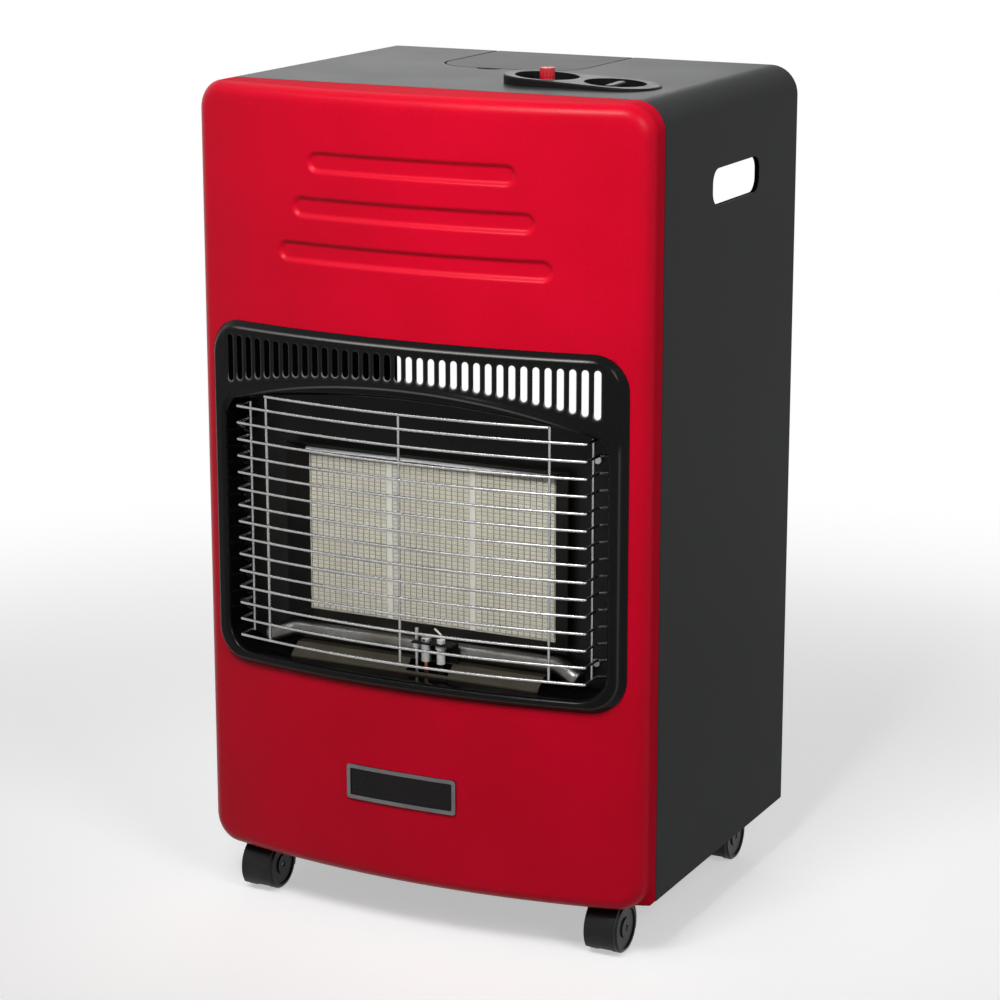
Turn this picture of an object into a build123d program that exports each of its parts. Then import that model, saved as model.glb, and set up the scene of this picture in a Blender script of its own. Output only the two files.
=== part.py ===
from build123d import *
import os
from math import atan2, cos, degrees, radians, sin, sqrt

# Gas heater in a wheeled steel cabinet. Millimetres, +Z up, the front faces -Y.
# The origin lies on the floor, under the middle of the whole heater.

# Sheet metal and general clearances
sheet = 1.2
seat_gap = 0.3
running_gap = 0.05
overrun = 5

# Cabinet wrap: one sheet folded over both sides and the top
cabinet_width = 420
cabinet_height = 675
cabinet_depth = 290
floor_gap = 50
bend_radius = 25
rear_flange = 20
hand_hole_length = 103
hand_hole_height = 31
hand_hole_radius = 12
hand_hole_lip = 4.5
hand_hole_back = 151.5
hand_hole_drop = 82.5

# Front panel: bowed, with three pressed ribs
panel_rim = 26.5
panel_bow = 28.5
edge_round = 12
panel_lip = 12
panel_drop = 3.5
rib_height = 17
rib_depth = 3
rib_round = 1.6
rib_lengths = (190, 222, 252)
rib_first_drop = 60
rib_pitch = 38
rib_offset = 6
bottom_return = 10

# Badge: a bare plate in a bright rim
badge_length = 105
badge_height = 31
badge_rim_width = 3.5
badge_radius = 3
badge_rim_thick = 2
badge_plate_thick = 1
badge_rise = 84
badge_offset = -4
glue_gap = 0.1

# Bezel: black surround with a slotted band over an arched opening
bezel_margin = 15
bezel_bottom_rise = 171.5
bezel_height = 302.5
bezel_radius = 30
bezel_proud = 7
bezel_round = 6
opening_round = 5
bezel_overlap = 8
bezel_wall = 4
opening_margin = 15.5
opening_bottom_rise = 183
opening_height = 241
opening_radius = 24
opening_corner = 14
opening_arch_sag = 17.5
slot_side_margin = 15
slot_pitch = 10.1
slot_width = 5.6
slot_round = 1.4
slot_band_below = 16.5
slot_top_below = 12

# Burner: three ceramic plaques on a steel box
plaque_setback = 5
plaque_width = 77
plaque_height = 143
plaque_thick = 13
plaque_joint = 2.5
plaque_lift = 34
plaque_round = 0.8
burner_gap = 0.3
burner_depth = 47
burner_flange = 10
burner_ledge = 6
frame_flare = 10
frame_side = 15
frame_top = 7
frame_bottom = 4

# Firebox floor and deflector bar
floor_rise = 10.6
floor_flat = 22.8
floor_ramp = 12
floor_end_gap = 8
bar_radius = 8
bar_setback = 10
bar_side_gap = 53.5
bar_end_reach = 24
bar_end_forward = 10
bar_end_drop = 8
bar_bend = 18
lead_hole_length = 40
lead_hole_width = 12
lead_hole_offset = 4.75

# Venturi tubes, injectors, manifold and supply pipe
venturi_radius = 12
venturi_wall = 1
venturi_length = 55
venturi_mouth = 16
venturi_flare = 12
injector_radius = 5
injector_base = 9
injector_tip_radius = 2.6
injector_tip = 9
injector_bore = 0.6
injector_gap = 9
manifold_size = 16
manifold_length = 200
bracket_width = 24
bracket_upstand = 24
bracket_place = 60
pipe_radius = 4
pipe_bore = 3
pipe_bend = 15

# Heat shield between the burner and the bottle space
shield_gap = 12
shield_height = 384
shield_flange = 15
shield_side_gap = 2.7

# Wire guard
wire_radius = 1.25
guard_proud = 10
guard_rows = 15
guard_pitch = 14.5
guard_rise = 198.5
guard_side_gap = 15.5
guard_top_gap = 12
guard_upright_inset = 31
guard_leg = 24
guard_foot_depth = 9
guard_foot_bend = 4
guard_tip_bead = 1.4
guard_side_back = 19
weld_bite = 0.35
guard_screw_radius = 3.4
guard_screw_head = 2.4
guard_screw_rows = (1, 12)
plate_screw_inset = 23
plate_screw_rows = (0.5, 12.5)

# Pilot group on the firebox floor
pilot_place = 18
pilot_forward = 20
pilot_strip_length = 38
pilot_strip_width = 14
pilot_strip_height = 17
pilot_burner_radius = 4.5
pilot_burner_below = 16
pilot_burner_above = 5
pilot_burner_offset = -8
pilot_port_radius = 1.2
pilot_port_rise = 1.7
electrode_radius = 3.6
electrode_collar = 5
electrode_collar_height = 4
electrode_below = 17
electrode_above = 4
electrode_offset = 6
electrode_wire = 0.9
electrode_wire_rise = 9
electrode_wire_lean = 6
thermocouple_radius = 1.6
thermocouple_nut = 3.6
thermocouple_nut_height = 5
thermocouple_below = 15
thermocouple_above = 12
thermocouple_offset = -17

# Control panel: a low sloping boss with two round wells
boss_length = 138
boss_width = 64
boss_centre_offset = 30
boss_setback = 75
boss_left_height = 8
boss_right_height = 1.5
boss_skirt = 8
boss_round = 2.5
boss_flange = 5
boss_flange_thick = 2
well_wall = 2
igniter_offset = 62
igniter_well_radius = 27
igniter_well_floor = 6
knob_inset = 78
knob_well_radius = 26
knob_well_floor = 17

# Control knob and valve
knob_radius = 20.5
knob_lift = 5
knob_disc = 8
knob_round = 1.5
grip_length = 36
grip_width = 8
grip_height = 7
grip_angle = 94
grip_round = 1.6
stem_radius = 3
stem_flat = 2.2
stem_into_valve = 10
stem_into_knob = 6
stem_clear = 5
valve_length = 40
valve_width = 34
valve_height = 38
valve_neck = 7
valve_round = 3
valve_port_radius = 6
valve_port_boss = 6
supply_port_x = 14
pilot_port_x = -10
lead_port_y = 10

# Hose nozzle on the back of the valve
nozzle_radius = 4.5
nozzle_tail = 18
nozzle_tip = 8
nozzle_nut_radius = 9
nozzle_nut = 9
nozzle_bore = 2.5
nozzle_drop = 14

# Igniter
button_radius = 6.3
button_proud = 13
button_depth = 27
button_flutes = 16
button_flute_radius = 0.7
button_flute_length = 10
button_round = 0.8
button_travel = 6
igniter_wall = 2.2
igniter_collar = 11
igniter_collar_height = 2
igniter_spare = 2
igniter_length = 64

# Leads inside the cabinet
pilot_tube_radius = 2
thermocouple_lead_radius = 1.25
ignition_lead_radius = 2
lead_bend = 12
riser_setback = 25
supply_riser_inset = 50
pilot_riser_inset = 38
thermocouple_riser_inset = 30
ignition_riser_inset = 22
supply_cross_drop = 225
pilot_cross_drop = 205
thermocouple_cross_drop = 190
ignition_cross_drop = 175
pilot_run_rise = 155
thermocouple_run_rise = 147
ignition_run_rise = 139

# Top flap and its frame
flap_width = 134
flap_depth = 135
flap_centre_x = -15
flap_corner = 40
flap_thick = 2.4
flap_gap = 1.6
flap_round = 0.7
notch_half_length = 12
notch_half_width = 8
notch_x = -23
flap_ledge = 7
flap_margin = 12
flap_frame_thick = 4
hinge_inset = 8
hinge_drop = 9
hinge_pin_radius = 1.5
hinge_ear_radius = 5
hinge_ear = 5
hinge_barrel_radius = 3.5
hinge_barrel = 16
hinge_web = 5

# Rear cover that drops into two guides
guide_depth = 9
guide_outer_inset = 5
guide_base = 14
guide_lip = 12
guide_length = 250
guide_rise = 6
cover_height = 307
cover_edge_gap = 0.4
cover_field_inset = 20
cover_field_depth = 5
cover_field_radius = 18
cover_vent_rows = 5
cover_vent_inset = 8
cover_vent_gap = 40
cover_vent_width = 6
cover_vent_pitch_z = 22
cover_vent_columns = 3
cover_grip_length = 90
cover_grip_height = 24
cover_grip_below = 55

# Base tray
tray_thick = 1.5
tray_flange = 25
tray_tongue_inset = 26
tongue_gap = 0.5

# Castors
castor_inset = 41.5
castor_front_setback = 12
castor_rear_setback = 259
castor_trail = 13
wheel_radius = 22
wheel_width = 9.8
wheel_chamfer = 2
wheel_hub_radius = 9
wheel_hub_recess = 1.2
wheel_gap = 0.6
axle_radius = 2.5
web_width = 10
hood_gap = 0.6
hood_wall = 1.4
hood_width = 28
hood_floor_gap = 7
hood_front_angle = -40
hood_rear_angle = 200
swivel_collar = 4.8
swivel_pin_radius = 3
swivel_pin_end = 27
castor_plate = 38
castor_plate_thick = 2.6
castor_plate_radius = 5
castor_plate_gap = 0.4
castor_screw_head = 3.2
castor_screw_head_height = 0.8
castor_screw_shank = 1.8
castor_screw_place = 14

# Levels and planes that the pieces share
half_width = cabinet_width / 2
bezel_width = cabinet_width - 2 * bezel_margin
opening_width = bezel_width - 2 * opening_margin
slot_count = int((bezel_width - 2 * slot_side_margin) / slot_pitch)
guard_half_width = opening_width / 2 - guard_side_gap
bar_half_length = opening_width / 2 - bar_side_gap
floor_half_width = bar_half_length - floor_end_gap
guard_upright = guard_half_width - guard_upright_inset
knob_x = half_width - knob_inset
igniter_x = knob_x - igniter_offset
boss_centre_x = knob_x - boss_centre_offset
castor_x = half_width - castor_inset
tray_tongue_half = half_width - tray_tongue_inset
base_z = floor_gap
panel_base_z = base_z - panel_drop
top_z = floor_gap + cabinet_height
middle_z = (base_z + top_z) / 2
tall = 2 * top_z
overall_depth = guard_proud + panel_bow + panel_rim + cabinet_depth + guide_depth
front_y = -overall_depth / 2
crown_y = front_y + guard_proud
rim_y = crown_y + panel_bow
joint_y = rim_y + panel_rim
back_y = joint_y + cabinet_depth
bow_radius = (half_width ** 2 + panel_bow ** 2) / (2 * panel_bow)
bow_y = crown_y + bow_radius
plaque_y = joint_y - plaque_setback
plate_y = plaque_y - sheet
plaque_half = (3 * plaque_width + 2 * plaque_joint) / 2
opening_bottom_z = base_z + opening_bottom_rise
plaque_bottom_z = opening_bottom_z + plaque_lift
plaque_top_z = plaque_bottom_z + plaque_height
opening_top_z = opening_bottom_z + opening_height
arch_half = opening_width / 2 - opening_corner
arch_radius = (arch_half ** 2 + opening_arch_sag ** 2) / (2 * opening_arch_sag)
arch_z = opening_top_z - arch_radius
bezel_bottom_z = base_z + bezel_bottom_rise
bezel_top_z = bezel_bottom_z + bezel_height
control_y = joint_y + boss_setback
knob_floor_z = top_z - knob_well_floor
igniter_floor_z = top_z - igniter_well_floor
flap_front_y = back_y - flap_depth
tray_top_z = base_z + tray_thick

os.makedirs("parts", exist_ok=True)


def write(piece, name):
    piece.part.label = name
    export_step(piece.part, "parts/" + name + ".step")


# A rectangle with round corners, given by its lower and upper edge
def rounded_frame(width, bottom, top, radius, mode=Mode.ADD):
    with Locations((0, (bottom + top) / 2)):
        RectangleRounded(width, top - bottom, radius, mode=mode)


# Everything behind the bowed front, moved forward by the offset
def bow_cut(offset, mode):
    with Locations((0, bow_y, middle_z)):
        Cylinder(bow_radius + offset, tall, mode=mode)


# Cabinet outline seen from the front, open below
def wrap_profile(inset):
    side = half_width - inset
    with BuildSketch(mode=Mode.PRIVATE) as profile:
        with BuildLine():
            corners = ((-side, base_z), (-side, top_z - inset), (side, top_z - inset), (side, base_z))
            FilletPolyline(*corners, radius=max(bend_radius - inset, sheet))
            Line((side, base_z), (-side, base_z))
        make_face()
    return profile.sketch


# Hatch outline seen from above, grown all round; its rear edge lies on rear_y
def flap_profile(grow, rear_y):
    left = flap_centre_x - flap_width / 2 - grow
    right = flap_centre_x + flap_width / 2 + grow
    front = flap_front_y - grow
    with BuildSketch(mode=Mode.PRIVATE) as profile:
        with BuildLine():
            corners = ((left, rear_y), (left, front), (right, front), (right, rear_y))
            FilletPolyline(*corners, radius=flap_corner + grow)
            Line((right, rear_y), (left, rear_y))
        make_face()
    return profile.sketch


# Arched opening of the bezel seen from the front, grown all round
def opening_profile(grow):
    with BuildSketch(mode=Mode.PRIVATE) as profile:
        width = opening_width + 2 * grow
        bottom = opening_bottom_z - grow
        rounded_frame(width, bottom, opening_top_z + opening_radius + grow, opening_radius + grow)
        with Locations((0, arch_z)):
            Circle(arch_radius + grow, mode=Mode.INTERSECT)
        upper = profile.vertices().filter_by_position(Axis.Y, arch_z + arch_radius / 2, top_z)
        shoulders = upper.group_by(Axis.Y)[-1]
        fillet(shoulders, opening_corner + grow)
    return profile.sketch


wrap_outside = wrap_profile(0)
wrap_inside = wrap_profile(sheet)
wrap_flange = wrap_profile(rear_flange)
flap_hole = flap_profile(flap_gap, back_y + overrun)
opening_inside = opening_profile(0)
opening_outside = opening_profile(sheet)

# Cabinet wrap
with BuildPart() as cabinet_wrap:
    with BuildSketch(Plane.XZ.offset(-back_y)):
        add(wrap_outside)
        add(wrap_inside, mode=Mode.SUBTRACT)
    extrude(amount=cabinet_depth)
    with BuildSketch(Plane.XZ.offset(-back_y)):
        add(wrap_outside)
        add(wrap_flange, mode=Mode.SUBTRACT)
    extrude(amount=sheet)
    hand_hole = Plane.YZ.offset(-half_width)
    with BuildSketch(hand_hole):
        with Locations((joint_y + hand_hole_back, top_z - hand_hole_drop)):
            lip_length = hand_hole_length + 2 * sheet
            lip_height = hand_hole_height + 2 * sheet
            RectangleRounded(lip_length, lip_height, hand_hole_radius + sheet)
    extrude(amount=hand_hole_lip)
    mirror(about=Plane.YZ)
    with BuildSketch(hand_hole):
        with Locations((joint_y + hand_hole_back, top_z - hand_hole_drop)):
            RectangleRounded(hand_hole_length, hand_hole_height, hand_hole_radius)
    extrude(amount=cabinet_width, mode=Mode.SUBTRACT)
    with BuildSketch(Plane.XY.offset(top_z + overrun)):
        add(flap_hole)
        with Locations((notch_x, flap_front_y - flap_gap)):
            Ellipse(notch_half_length, notch_half_width)
    extrude(amount=-(overrun + rear_flange + sheet), mode=Mode.SUBTRACT)
    with BuildSketch(Plane.XY.offset(top_z + overrun)):
        with Locations((boss_centre_x, control_y)):
            SlotOverall(boss_length + 2 * seat_gap, boss_width + 2 * seat_gap)
    extrude(amount=-(overrun + 2 * sheet), mode=Mode.SUBTRACT)
write(cabinet_wrap, "cabinet_wrap")

# Base tray
tray_half = half_width - sheet
tray_front_y = joint_y + panel_lip + tongue_gap
with BuildPart() as base_tray:
    with BuildSketch(Plane.XY.offset(base_z)):
        with Locations((0, (tray_front_y + back_y) / 2)):
            Rectangle(2 * tray_half, back_y - tray_front_y - 2 * sheet)
        with Locations((0, rim_y + bottom_return + tongue_gap)):
            Rectangle(2 * tray_tongue_half, back_y - rim_y - bottom_return - tongue_gap,
                      align=(Align.CENTER, Align.MIN))
    extrude(amount=tray_thick)
    with BuildSketch(Plane.XY.offset(base_z)):
        for side in (-1, 1):
            with Locations((side * (tray_half - sheet / 2), (tray_front_y + back_y) / 2)):
                Rectangle(sheet, back_y - tray_front_y - 2 * sheet)
        with Locations((0, back_y - sheet / 2)):
            Rectangle(2 * tray_tongue_half, sheet)
    extrude(amount=tray_flange)
write(base_tray, "base_tray")


# Front panel as a full block, every face moved inward by the inset
def panel_block(inset):
    with BuildPart() as block:
        with BuildSketch(Plane.XZ.offset(-joint_y)):
            rounded_frame(cabinet_width - 2 * inset, panel_base_z + inset, top_z - inset,
                          bend_radius - inset)
        extrude(amount=panel_rim + panel_bow + overrun)
        bow_cut(-inset, Mode.INTERSECT)
        bowed = block.faces().filter_by(GeomType.CYLINDER).sort_by(SortBy.AREA)[-1]
        fillet(bowed.edges(), edge_round - inset)
    return block.part


# The space that the three ribs press into the panel, grown and deepened by the sheet inside
def rib_space(grow):
    with BuildPart() as space:
        with BuildSketch(Plane.XZ.offset(-rim_y)):
            for row, length in enumerate(rib_lengths):
                with Locations((rib_offset, top_z - rib_first_drop - row * rib_pitch)):
                    SlotOverall(length + 2 * grow, rib_height + 2 * grow)
        extrude(amount=panel_bow + overrun)
        bow_cut(-rib_depth - grow, Mode.SUBTRACT)
    return space.part


panel_inside = panel_block(sheet) - rib_space(sheet)
panel_outside = panel_block(0)
rib_outside = rib_space(0)

# Front panel
with BuildPart() as front_panel:
    add(panel_outside)
    add(rib_outside, mode=Mode.SUBTRACT)
    bowed = front_panel.faces().filter_by(GeomType.CYLINDER).sort_by(SortBy.AREA)[-1]
    rib_edges = [edge for loop in bowed.inner_wires() for edge in loop.edges()]
    fillet(rib_edges, rib_round)
    add(panel_inside, mode=Mode.SUBTRACT)
    window = bezel_width - 2 * bezel_overlap
    with BuildSketch(Plane.XZ.offset(-rim_y)):
        rounded_frame(window, bezel_bottom_z + bezel_overlap, bezel_top_z - bezel_overlap,
                      bezel_radius - bezel_overlap)
    extrude(amount=panel_bow + overrun, mode=Mode.SUBTRACT)
    # A stepped lip goes on behind the joint, just inside the wrap
    lip_inset = sheet + seat_gap
    with BuildSketch(Plane.XZ.offset(-joint_y)):
        rounded_frame(cabinet_width - 2 * sheet, panel_base_z + sheet, top_z - sheet, bend_radius - sheet)
        rounded_frame(cabinet_width - 2 * (lip_inset + sheet), base_z + lip_inset + sheet,
                      top_z - lip_inset - sheet, bend_radius - lip_inset - sheet, Mode.SUBTRACT)
    extrude(amount=panel_lip / 2)
    with BuildSketch(Plane.XZ.offset(-joint_y)):
        rounded_frame(cabinet_width - 2 * lip_inset, base_z + lip_inset, top_z - lip_inset,
                      bend_radius - lip_inset)
        rounded_frame(cabinet_width - 2 * (lip_inset + sheet), base_z + lip_inset + sheet,
                      top_z - lip_inset - sheet, bend_radius - lip_inset - sheet, Mode.SUBTRACT)
    extrude(amount=-panel_lip)
    # The bottom is open behind a short return, where the tray and the castor plates come forward
    with Locations((0, rim_y + bottom_return, base_z)):
        Box(2 * (castor_x + castor_plate / 2 + tongue_gap), panel_rim + panel_lip,
            2 * (lip_inset + sheet + seat_gap + panel_drop),
            align=(Align.CENTER, Align.MIN, Align.CENTER), mode=Mode.SUBTRACT)
write(front_panel, "front_panel")

# Badge rim and plate, curved with the panel
badge_z = base_z + badge_rise
with BuildPart() as badge_rim:
    with BuildSketch(Plane.XZ.offset(-rim_y)):
        with Locations((badge_offset, badge_z)):
            RectangleRounded(badge_length, badge_height, badge_radius)
            RectangleRounded(badge_length - 2 * badge_rim_width, badge_height - 2 * badge_rim_width,
                             badge_radius / 2, mode=Mode.SUBTRACT)
    extrude(amount=panel_bow + overrun)
    bow_cut(glue_gap + badge_rim_thick, Mode.INTERSECT)
    bow_cut(glue_gap, Mode.SUBTRACT)
write(badge_rim, "badge_rim")

with BuildPart() as badge_plate:
    with BuildSketch(Plane.XZ.offset(-rim_y)):
        with Locations((badge_offset, badge_z)):
            RectangleRounded(badge_length - 2 * badge_rim_width, badge_height - 2 * badge_rim_width,
                             badge_radius / 2)
    extrude(amount=panel_bow + overrun)
    bow_cut(glue_gap + badge_plate_thick, Mode.INTERSECT)
    bow_cut(glue_gap, Mode.SUBTRACT)
write(badge_plate, "badge_plate")

# Bezel: a bowed ring with round edges, hollow behind, and a sleeve back to the reflector plate
with BuildPart() as bezel_sleeve:
    with BuildSketch(Plane.XZ.offset(-plate_y)):
        add(opening_outside)
        add(opening_inside, mode=Mode.SUBTRACT)
    extrude(amount=plate_y - crown_y + overrun)
    bow_cut((bezel_proud - bezel_round) / 2, Mode.INTERSECT)

with BuildPart() as bezel_hollow:
    with BuildSketch(Plane.XZ.offset(-rim_y)):
        rounded_frame(bezel_width - 2 * bezel_wall, bezel_bottom_z + bezel_wall, bezel_top_z - bezel_wall,
                      bezel_radius - bezel_wall)
        add(opening_profile(bezel_wall), mode=Mode.SUBTRACT)
    extrude(amount=panel_bow + bezel_proud + overrun)
    bow_cut(bezel_proud - sheet, Mode.INTERSECT)

lead_hole_x = pilot_place - lead_hole_offset
with BuildPart() as front_bezel:
    with BuildSketch(Plane.XZ.offset(-rim_y)):
        rounded_frame(bezel_width, bezel_bottom_z, bezel_top_z, bezel_radius)
        add(opening_inside, mode=Mode.SUBTRACT)
    extrude(amount=panel_bow + bezel_proud + overrun)
    bow_cut(bezel_proud, Mode.INTERSECT)
    bow_cut(0, Mode.SUBTRACT)
    bowed = front_bezel.faces().filter_by(GeomType.CYLINDER).sort_by(Axis.Y)[0]
    fillet(bowed.inner_wires()[0].edges(), opening_round)
    bowed = front_bezel.faces().filter_by(GeomType.CYLINDER).sort_by(Axis.Y)[0]
    fillet(bowed.outer_wire().edges(), bezel_round)
    add(bezel_hollow.part, mode=Mode.SUBTRACT)
    add(bezel_sleeve.part)
    with BuildSketch(Plane.XZ.offset(-rim_y)):
        for slot in range(slot_count):
            slot_x = (slot - (slot_count - 1) / 2) * slot_pitch
            slot_bottom = arch_z + sqrt(arch_radius ** 2 - slot_x ** 2) + slot_band_below
            slot_top = bezel_top_z - slot_top_below
            with Locations((slot_x, (slot_bottom + slot_top) / 2)):
                RectangleRounded(slot_width, slot_top - slot_bottom, slot_round)
    extrude(amount=panel_bow + bezel_proud + overrun, mode=Mode.SUBTRACT)
    with Locations((lead_hole_x, plate_y - pilot_forward - pilot_strip_width / 2, opening_bottom_z)):
        Box(lead_hole_length, lead_hole_width, 2 * overrun, mode=Mode.SUBTRACT)
write(front_bezel, "front_bezel")

# Reflector plate behind the sleeve, with a window for the burner
with BuildPart() as reflector_plate:
    with BuildSketch(Plane.XZ.offset(-plaque_y)):
        add(opening_outside)
        rounded_frame(2 * plaque_half, plaque_bottom_z, plaque_top_z, plaque_round, Mode.SUBTRACT)
    extrude(amount=sheet)
write(reflector_plate, "reflector_plate")

# Firebox floor: a ramp that rises from the sleeve to a flat shelf
floor_low_z = opening_bottom_z
floor_high_z = opening_bottom_z + floor_rise
with BuildPart() as floor_pan:
    with BuildSketch(Plane.YZ.offset(-floor_half_width)):
        with BuildLine():
            ramp_y = plate_y - floor_flat
            toe_y = ramp_y - floor_ramp
            Polyline((plate_y, floor_high_z), (ramp_y, floor_high_z), (toe_y, floor_low_z + sheet),
                     (toe_y, floor_low_z), (toe_y + sheet, floor_low_z), (ramp_y, floor_high_z - sheet),
                     (plate_y, floor_high_z - sheet), close=True)
        make_face()
    extrude(amount=2 * floor_half_width)
    with Locations((lead_hole_x, plate_y - pilot_forward - pilot_strip_width / 2, floor_low_z)):
        Box(lead_hole_length, lead_hole_width, 2 * (floor_rise + overrun), mode=Mode.SUBTRACT)
write(floor_pan, "floor_pan")

# Deflector bar lying on the floor pan, its ends bent down and forward
bar_y = plate_y - bar_setback
bar_z = floor_high_z + bar_radius
with BuildPart() as deflector_bar:
    with BuildLine() as bar_path:
        bar_end = bar_half_length + bar_end_reach
        FilletPolyline((-bar_end, bar_y - bar_end_forward, bar_z - bar_end_drop),
                       (-bar_half_length, bar_y, bar_z), (bar_half_length, bar_y, bar_z),
                       (bar_end, bar_y - bar_end_forward, bar_z - bar_end_drop), radius=bar_bend)
    with BuildSketch(Plane(bar_path.line @ 0, z_dir=bar_path.line % 0)):
        Circle(bar_radius)
    sweep(path=bar_path.line)
write(deflector_bar, "deflector_bar")

# Burner frame: sloping reflector strips round the plaques
with BuildPart() as frame_space:
    with BuildSketch(Plane.XZ.offset(-plate_y)):
        rounded_frame(2 * plaque_half, plaque_bottom_z, plaque_top_z, plaque_round)
    with BuildSketch(Plane.XZ.offset(frame_flare - plate_y)):
        rounded_frame(2 * (plaque_half + frame_side), plaque_bottom_z - frame_bottom,
                      plaque_top_z + frame_top, plaque_round)
    loft()

with BuildPart() as burner_frame:
    with BuildSketch(Plane.XZ.offset(-plate_y)):
        rounded_frame(2 * (plaque_half + sheet), plaque_bottom_z - sheet, plaque_top_z + sheet,
                      plaque_round + sheet)
    with BuildSketch(Plane.XZ.offset(frame_flare - plate_y)):
        rounded_frame(2 * (plaque_half + frame_side + sheet), plaque_bottom_z - frame_bottom - sheet,
                      plaque_top_z + frame_top + sheet, plaque_round + sheet)
    loft()
    add(frame_space.part, mode=Mode.SUBTRACT)
write(burner_frame, "burner_frame")

# Burner box: open in front, with a ledge behind the plaques and three chambers
box_half = plaque_half + burner_gap
box_bottom_z = plaque_bottom_z - burner_gap
box_top_z = plaque_top_z + burner_gap
box_back_y = plaque_y + burner_depth
ledge_y = plaque_y + plaque_thick + seat_gap
chamber_pitch = plaque_width + plaque_joint
venturi_y = (ledge_y + box_back_y) / 2
with BuildPart() as burner_box:
    with BuildSketch(Plane.XZ.offset(-box_back_y)):
        rounded_frame(2 * (box_half + sheet), box_bottom_z - sheet, box_top_z + sheet, plaque_round + sheet)
    extrude(amount=burner_depth)
    with BuildSketch(Plane.XZ.offset(-plaque_y)):
        rounded_frame(2 * (box_half + burner_flange), box_bottom_z - burner_flange,
                      box_top_z + burner_flange, burner_flange)
    extrude(amount=-sheet)
    with BuildSketch(Plane.XZ.offset(sheet - box_back_y)):
        rounded_frame(2 * box_half, box_bottom_z, box_top_z, plaque_round)
    extrude(amount=burner_depth, mode=Mode.SUBTRACT)
    with BuildSketch(Plane.XZ.offset(-ledge_y)):
        rounded_frame(2 * (box_half + sheet / 2), box_bottom_z - sheet / 2, box_top_z + sheet / 2,
                      plaque_round)
        rounded_frame(2 * (box_half - burner_ledge), box_bottom_z + burner_ledge, box_top_z - burner_ledge,
                      plaque_round, Mode.SUBTRACT)
        for side in (-1, 1):
            with Locations((side * chamber_pitch / 2, (box_bottom_z + box_top_z) / 2)):
                Rectangle(2 * burner_ledge, box_top_z - box_bottom_z)
    extrude(amount=-sheet)
    with BuildSketch(Plane.XZ.offset(-ledge_y)):
        for side in (-1, 1):
            with Locations((side * chamber_pitch / 2, (box_bottom_z + box_top_z) / 2)):
                Rectangle(sheet, box_top_z - box_bottom_z)
    extrude(amount=ledge_y - box_back_y)
    with BuildSketch(Plane.XY.offset(box_bottom_z)):
        with Locations((0, venturi_y)):
            with GridLocations(chamber_pitch, 0, 3, 1):
                Circle(venturi_radius - venturi_wall)
    extrude(amount=-2 * sheet, mode=Mode.SUBTRACT)
write(burner_box, "burner_box")

# Ceramic plaques, side by side
for name, column in (("plaque_left", -1), ("plaque_centre", 0), ("plaque_right", 1)):
    with BuildPart() as plaque:
        with BuildSketch(Plane.XZ.offset(-plaque_y)):
            with Locations((column * chamber_pitch, (plaque_bottom_z + plaque_top_z) / 2)):
                RectangleRounded(plaque_width, plaque_height, plaque_round)
        extrude(amount=-plaque_thick)
    write(plaque, name)

# Venturi tubes under the box, with flared mouths
venturi_top_z = box_bottom_z - sheet
mouth_z = venturi_top_z - venturi_length - venturi_flare
with BuildPart() as venturi_tubes:
    for column in (-1, 0, 1):
        axis = Plane((column * chamber_pitch, venturi_y, mouth_z), x_dir=(1, 0, 0), z_dir=(0, -1, 0))
        with BuildSketch(axis):
            with BuildLine():
                length = venturi_flare + venturi_length
                Polyline((venturi_mouth, 0), (venturi_radius, venturi_flare), (venturi_radius, length),
                         (venturi_radius - venturi_wall, length),
                         (venturi_radius - venturi_wall, venturi_flare),
                         (venturi_mouth - venturi_wall, 0), close=True)
            make_face()
        revolve(axis=Axis((column * chamber_pitch, venturi_y, 0), (0, 0, 1)))
write(venturi_tubes, "venturi_tubes")

# Gas manifold bar with three injectors below the venturi mouths
manifold_top_z = mouth_z - injector_gap
with BuildPart() as gas_manifold:
    with Locations((0, venturi_y, manifold_top_z - manifold_size / 2)):
        Box(manifold_length, manifold_size, manifold_size)
    fillet(gas_manifold.edges().filter_by(Axis.X), sheet)
    with Locations((0, venturi_y, manifold_top_z)):
        with GridLocations(chamber_pitch, 0, 3, 1):
            Cylinder(injector_tip_radius, manifold_size, mode=Mode.SUBTRACT)
    with Locations((0, venturi_y, manifold_top_z - manifold_size / 2)):
        Cylinder(pipe_bore, manifold_length + overrun, rotation=(0, 90, 0), mode=Mode.SUBTRACT)
    with Locations((-manifold_length / 2, venturi_y, manifold_top_z - manifold_size / 2)):
        Box(manifold_size / 2, manifold_size / 2, manifold_size / 2,
            align=(Align.MIN, Align.CENTER, Align.CENTER))
write(gas_manifold, "gas_manifold")

with BuildPart() as injectors:
    for column in (-1, 0, 1):
        axis = Plane((column * chamber_pitch, venturi_y, manifold_top_z), x_dir=(1, 0, 0), z_dir=(0, -1, 0))
        with BuildSketch(axis):
            with BuildLine():
                tip_z = injector_base + injector_tip
                Polyline((injector_bore, 0), (injector_radius, 0), (injector_radius, injector_base),
                         (injector_tip_radius, injector_base), (injector_tip_radius, tip_z),
                         (injector_bore, tip_z), close=True)
            make_face()
        revolve(axis=Axis((column * chamber_pitch, venturi_y, 0), (0, 0, 1)))
write(injectors, "injectors")

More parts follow.
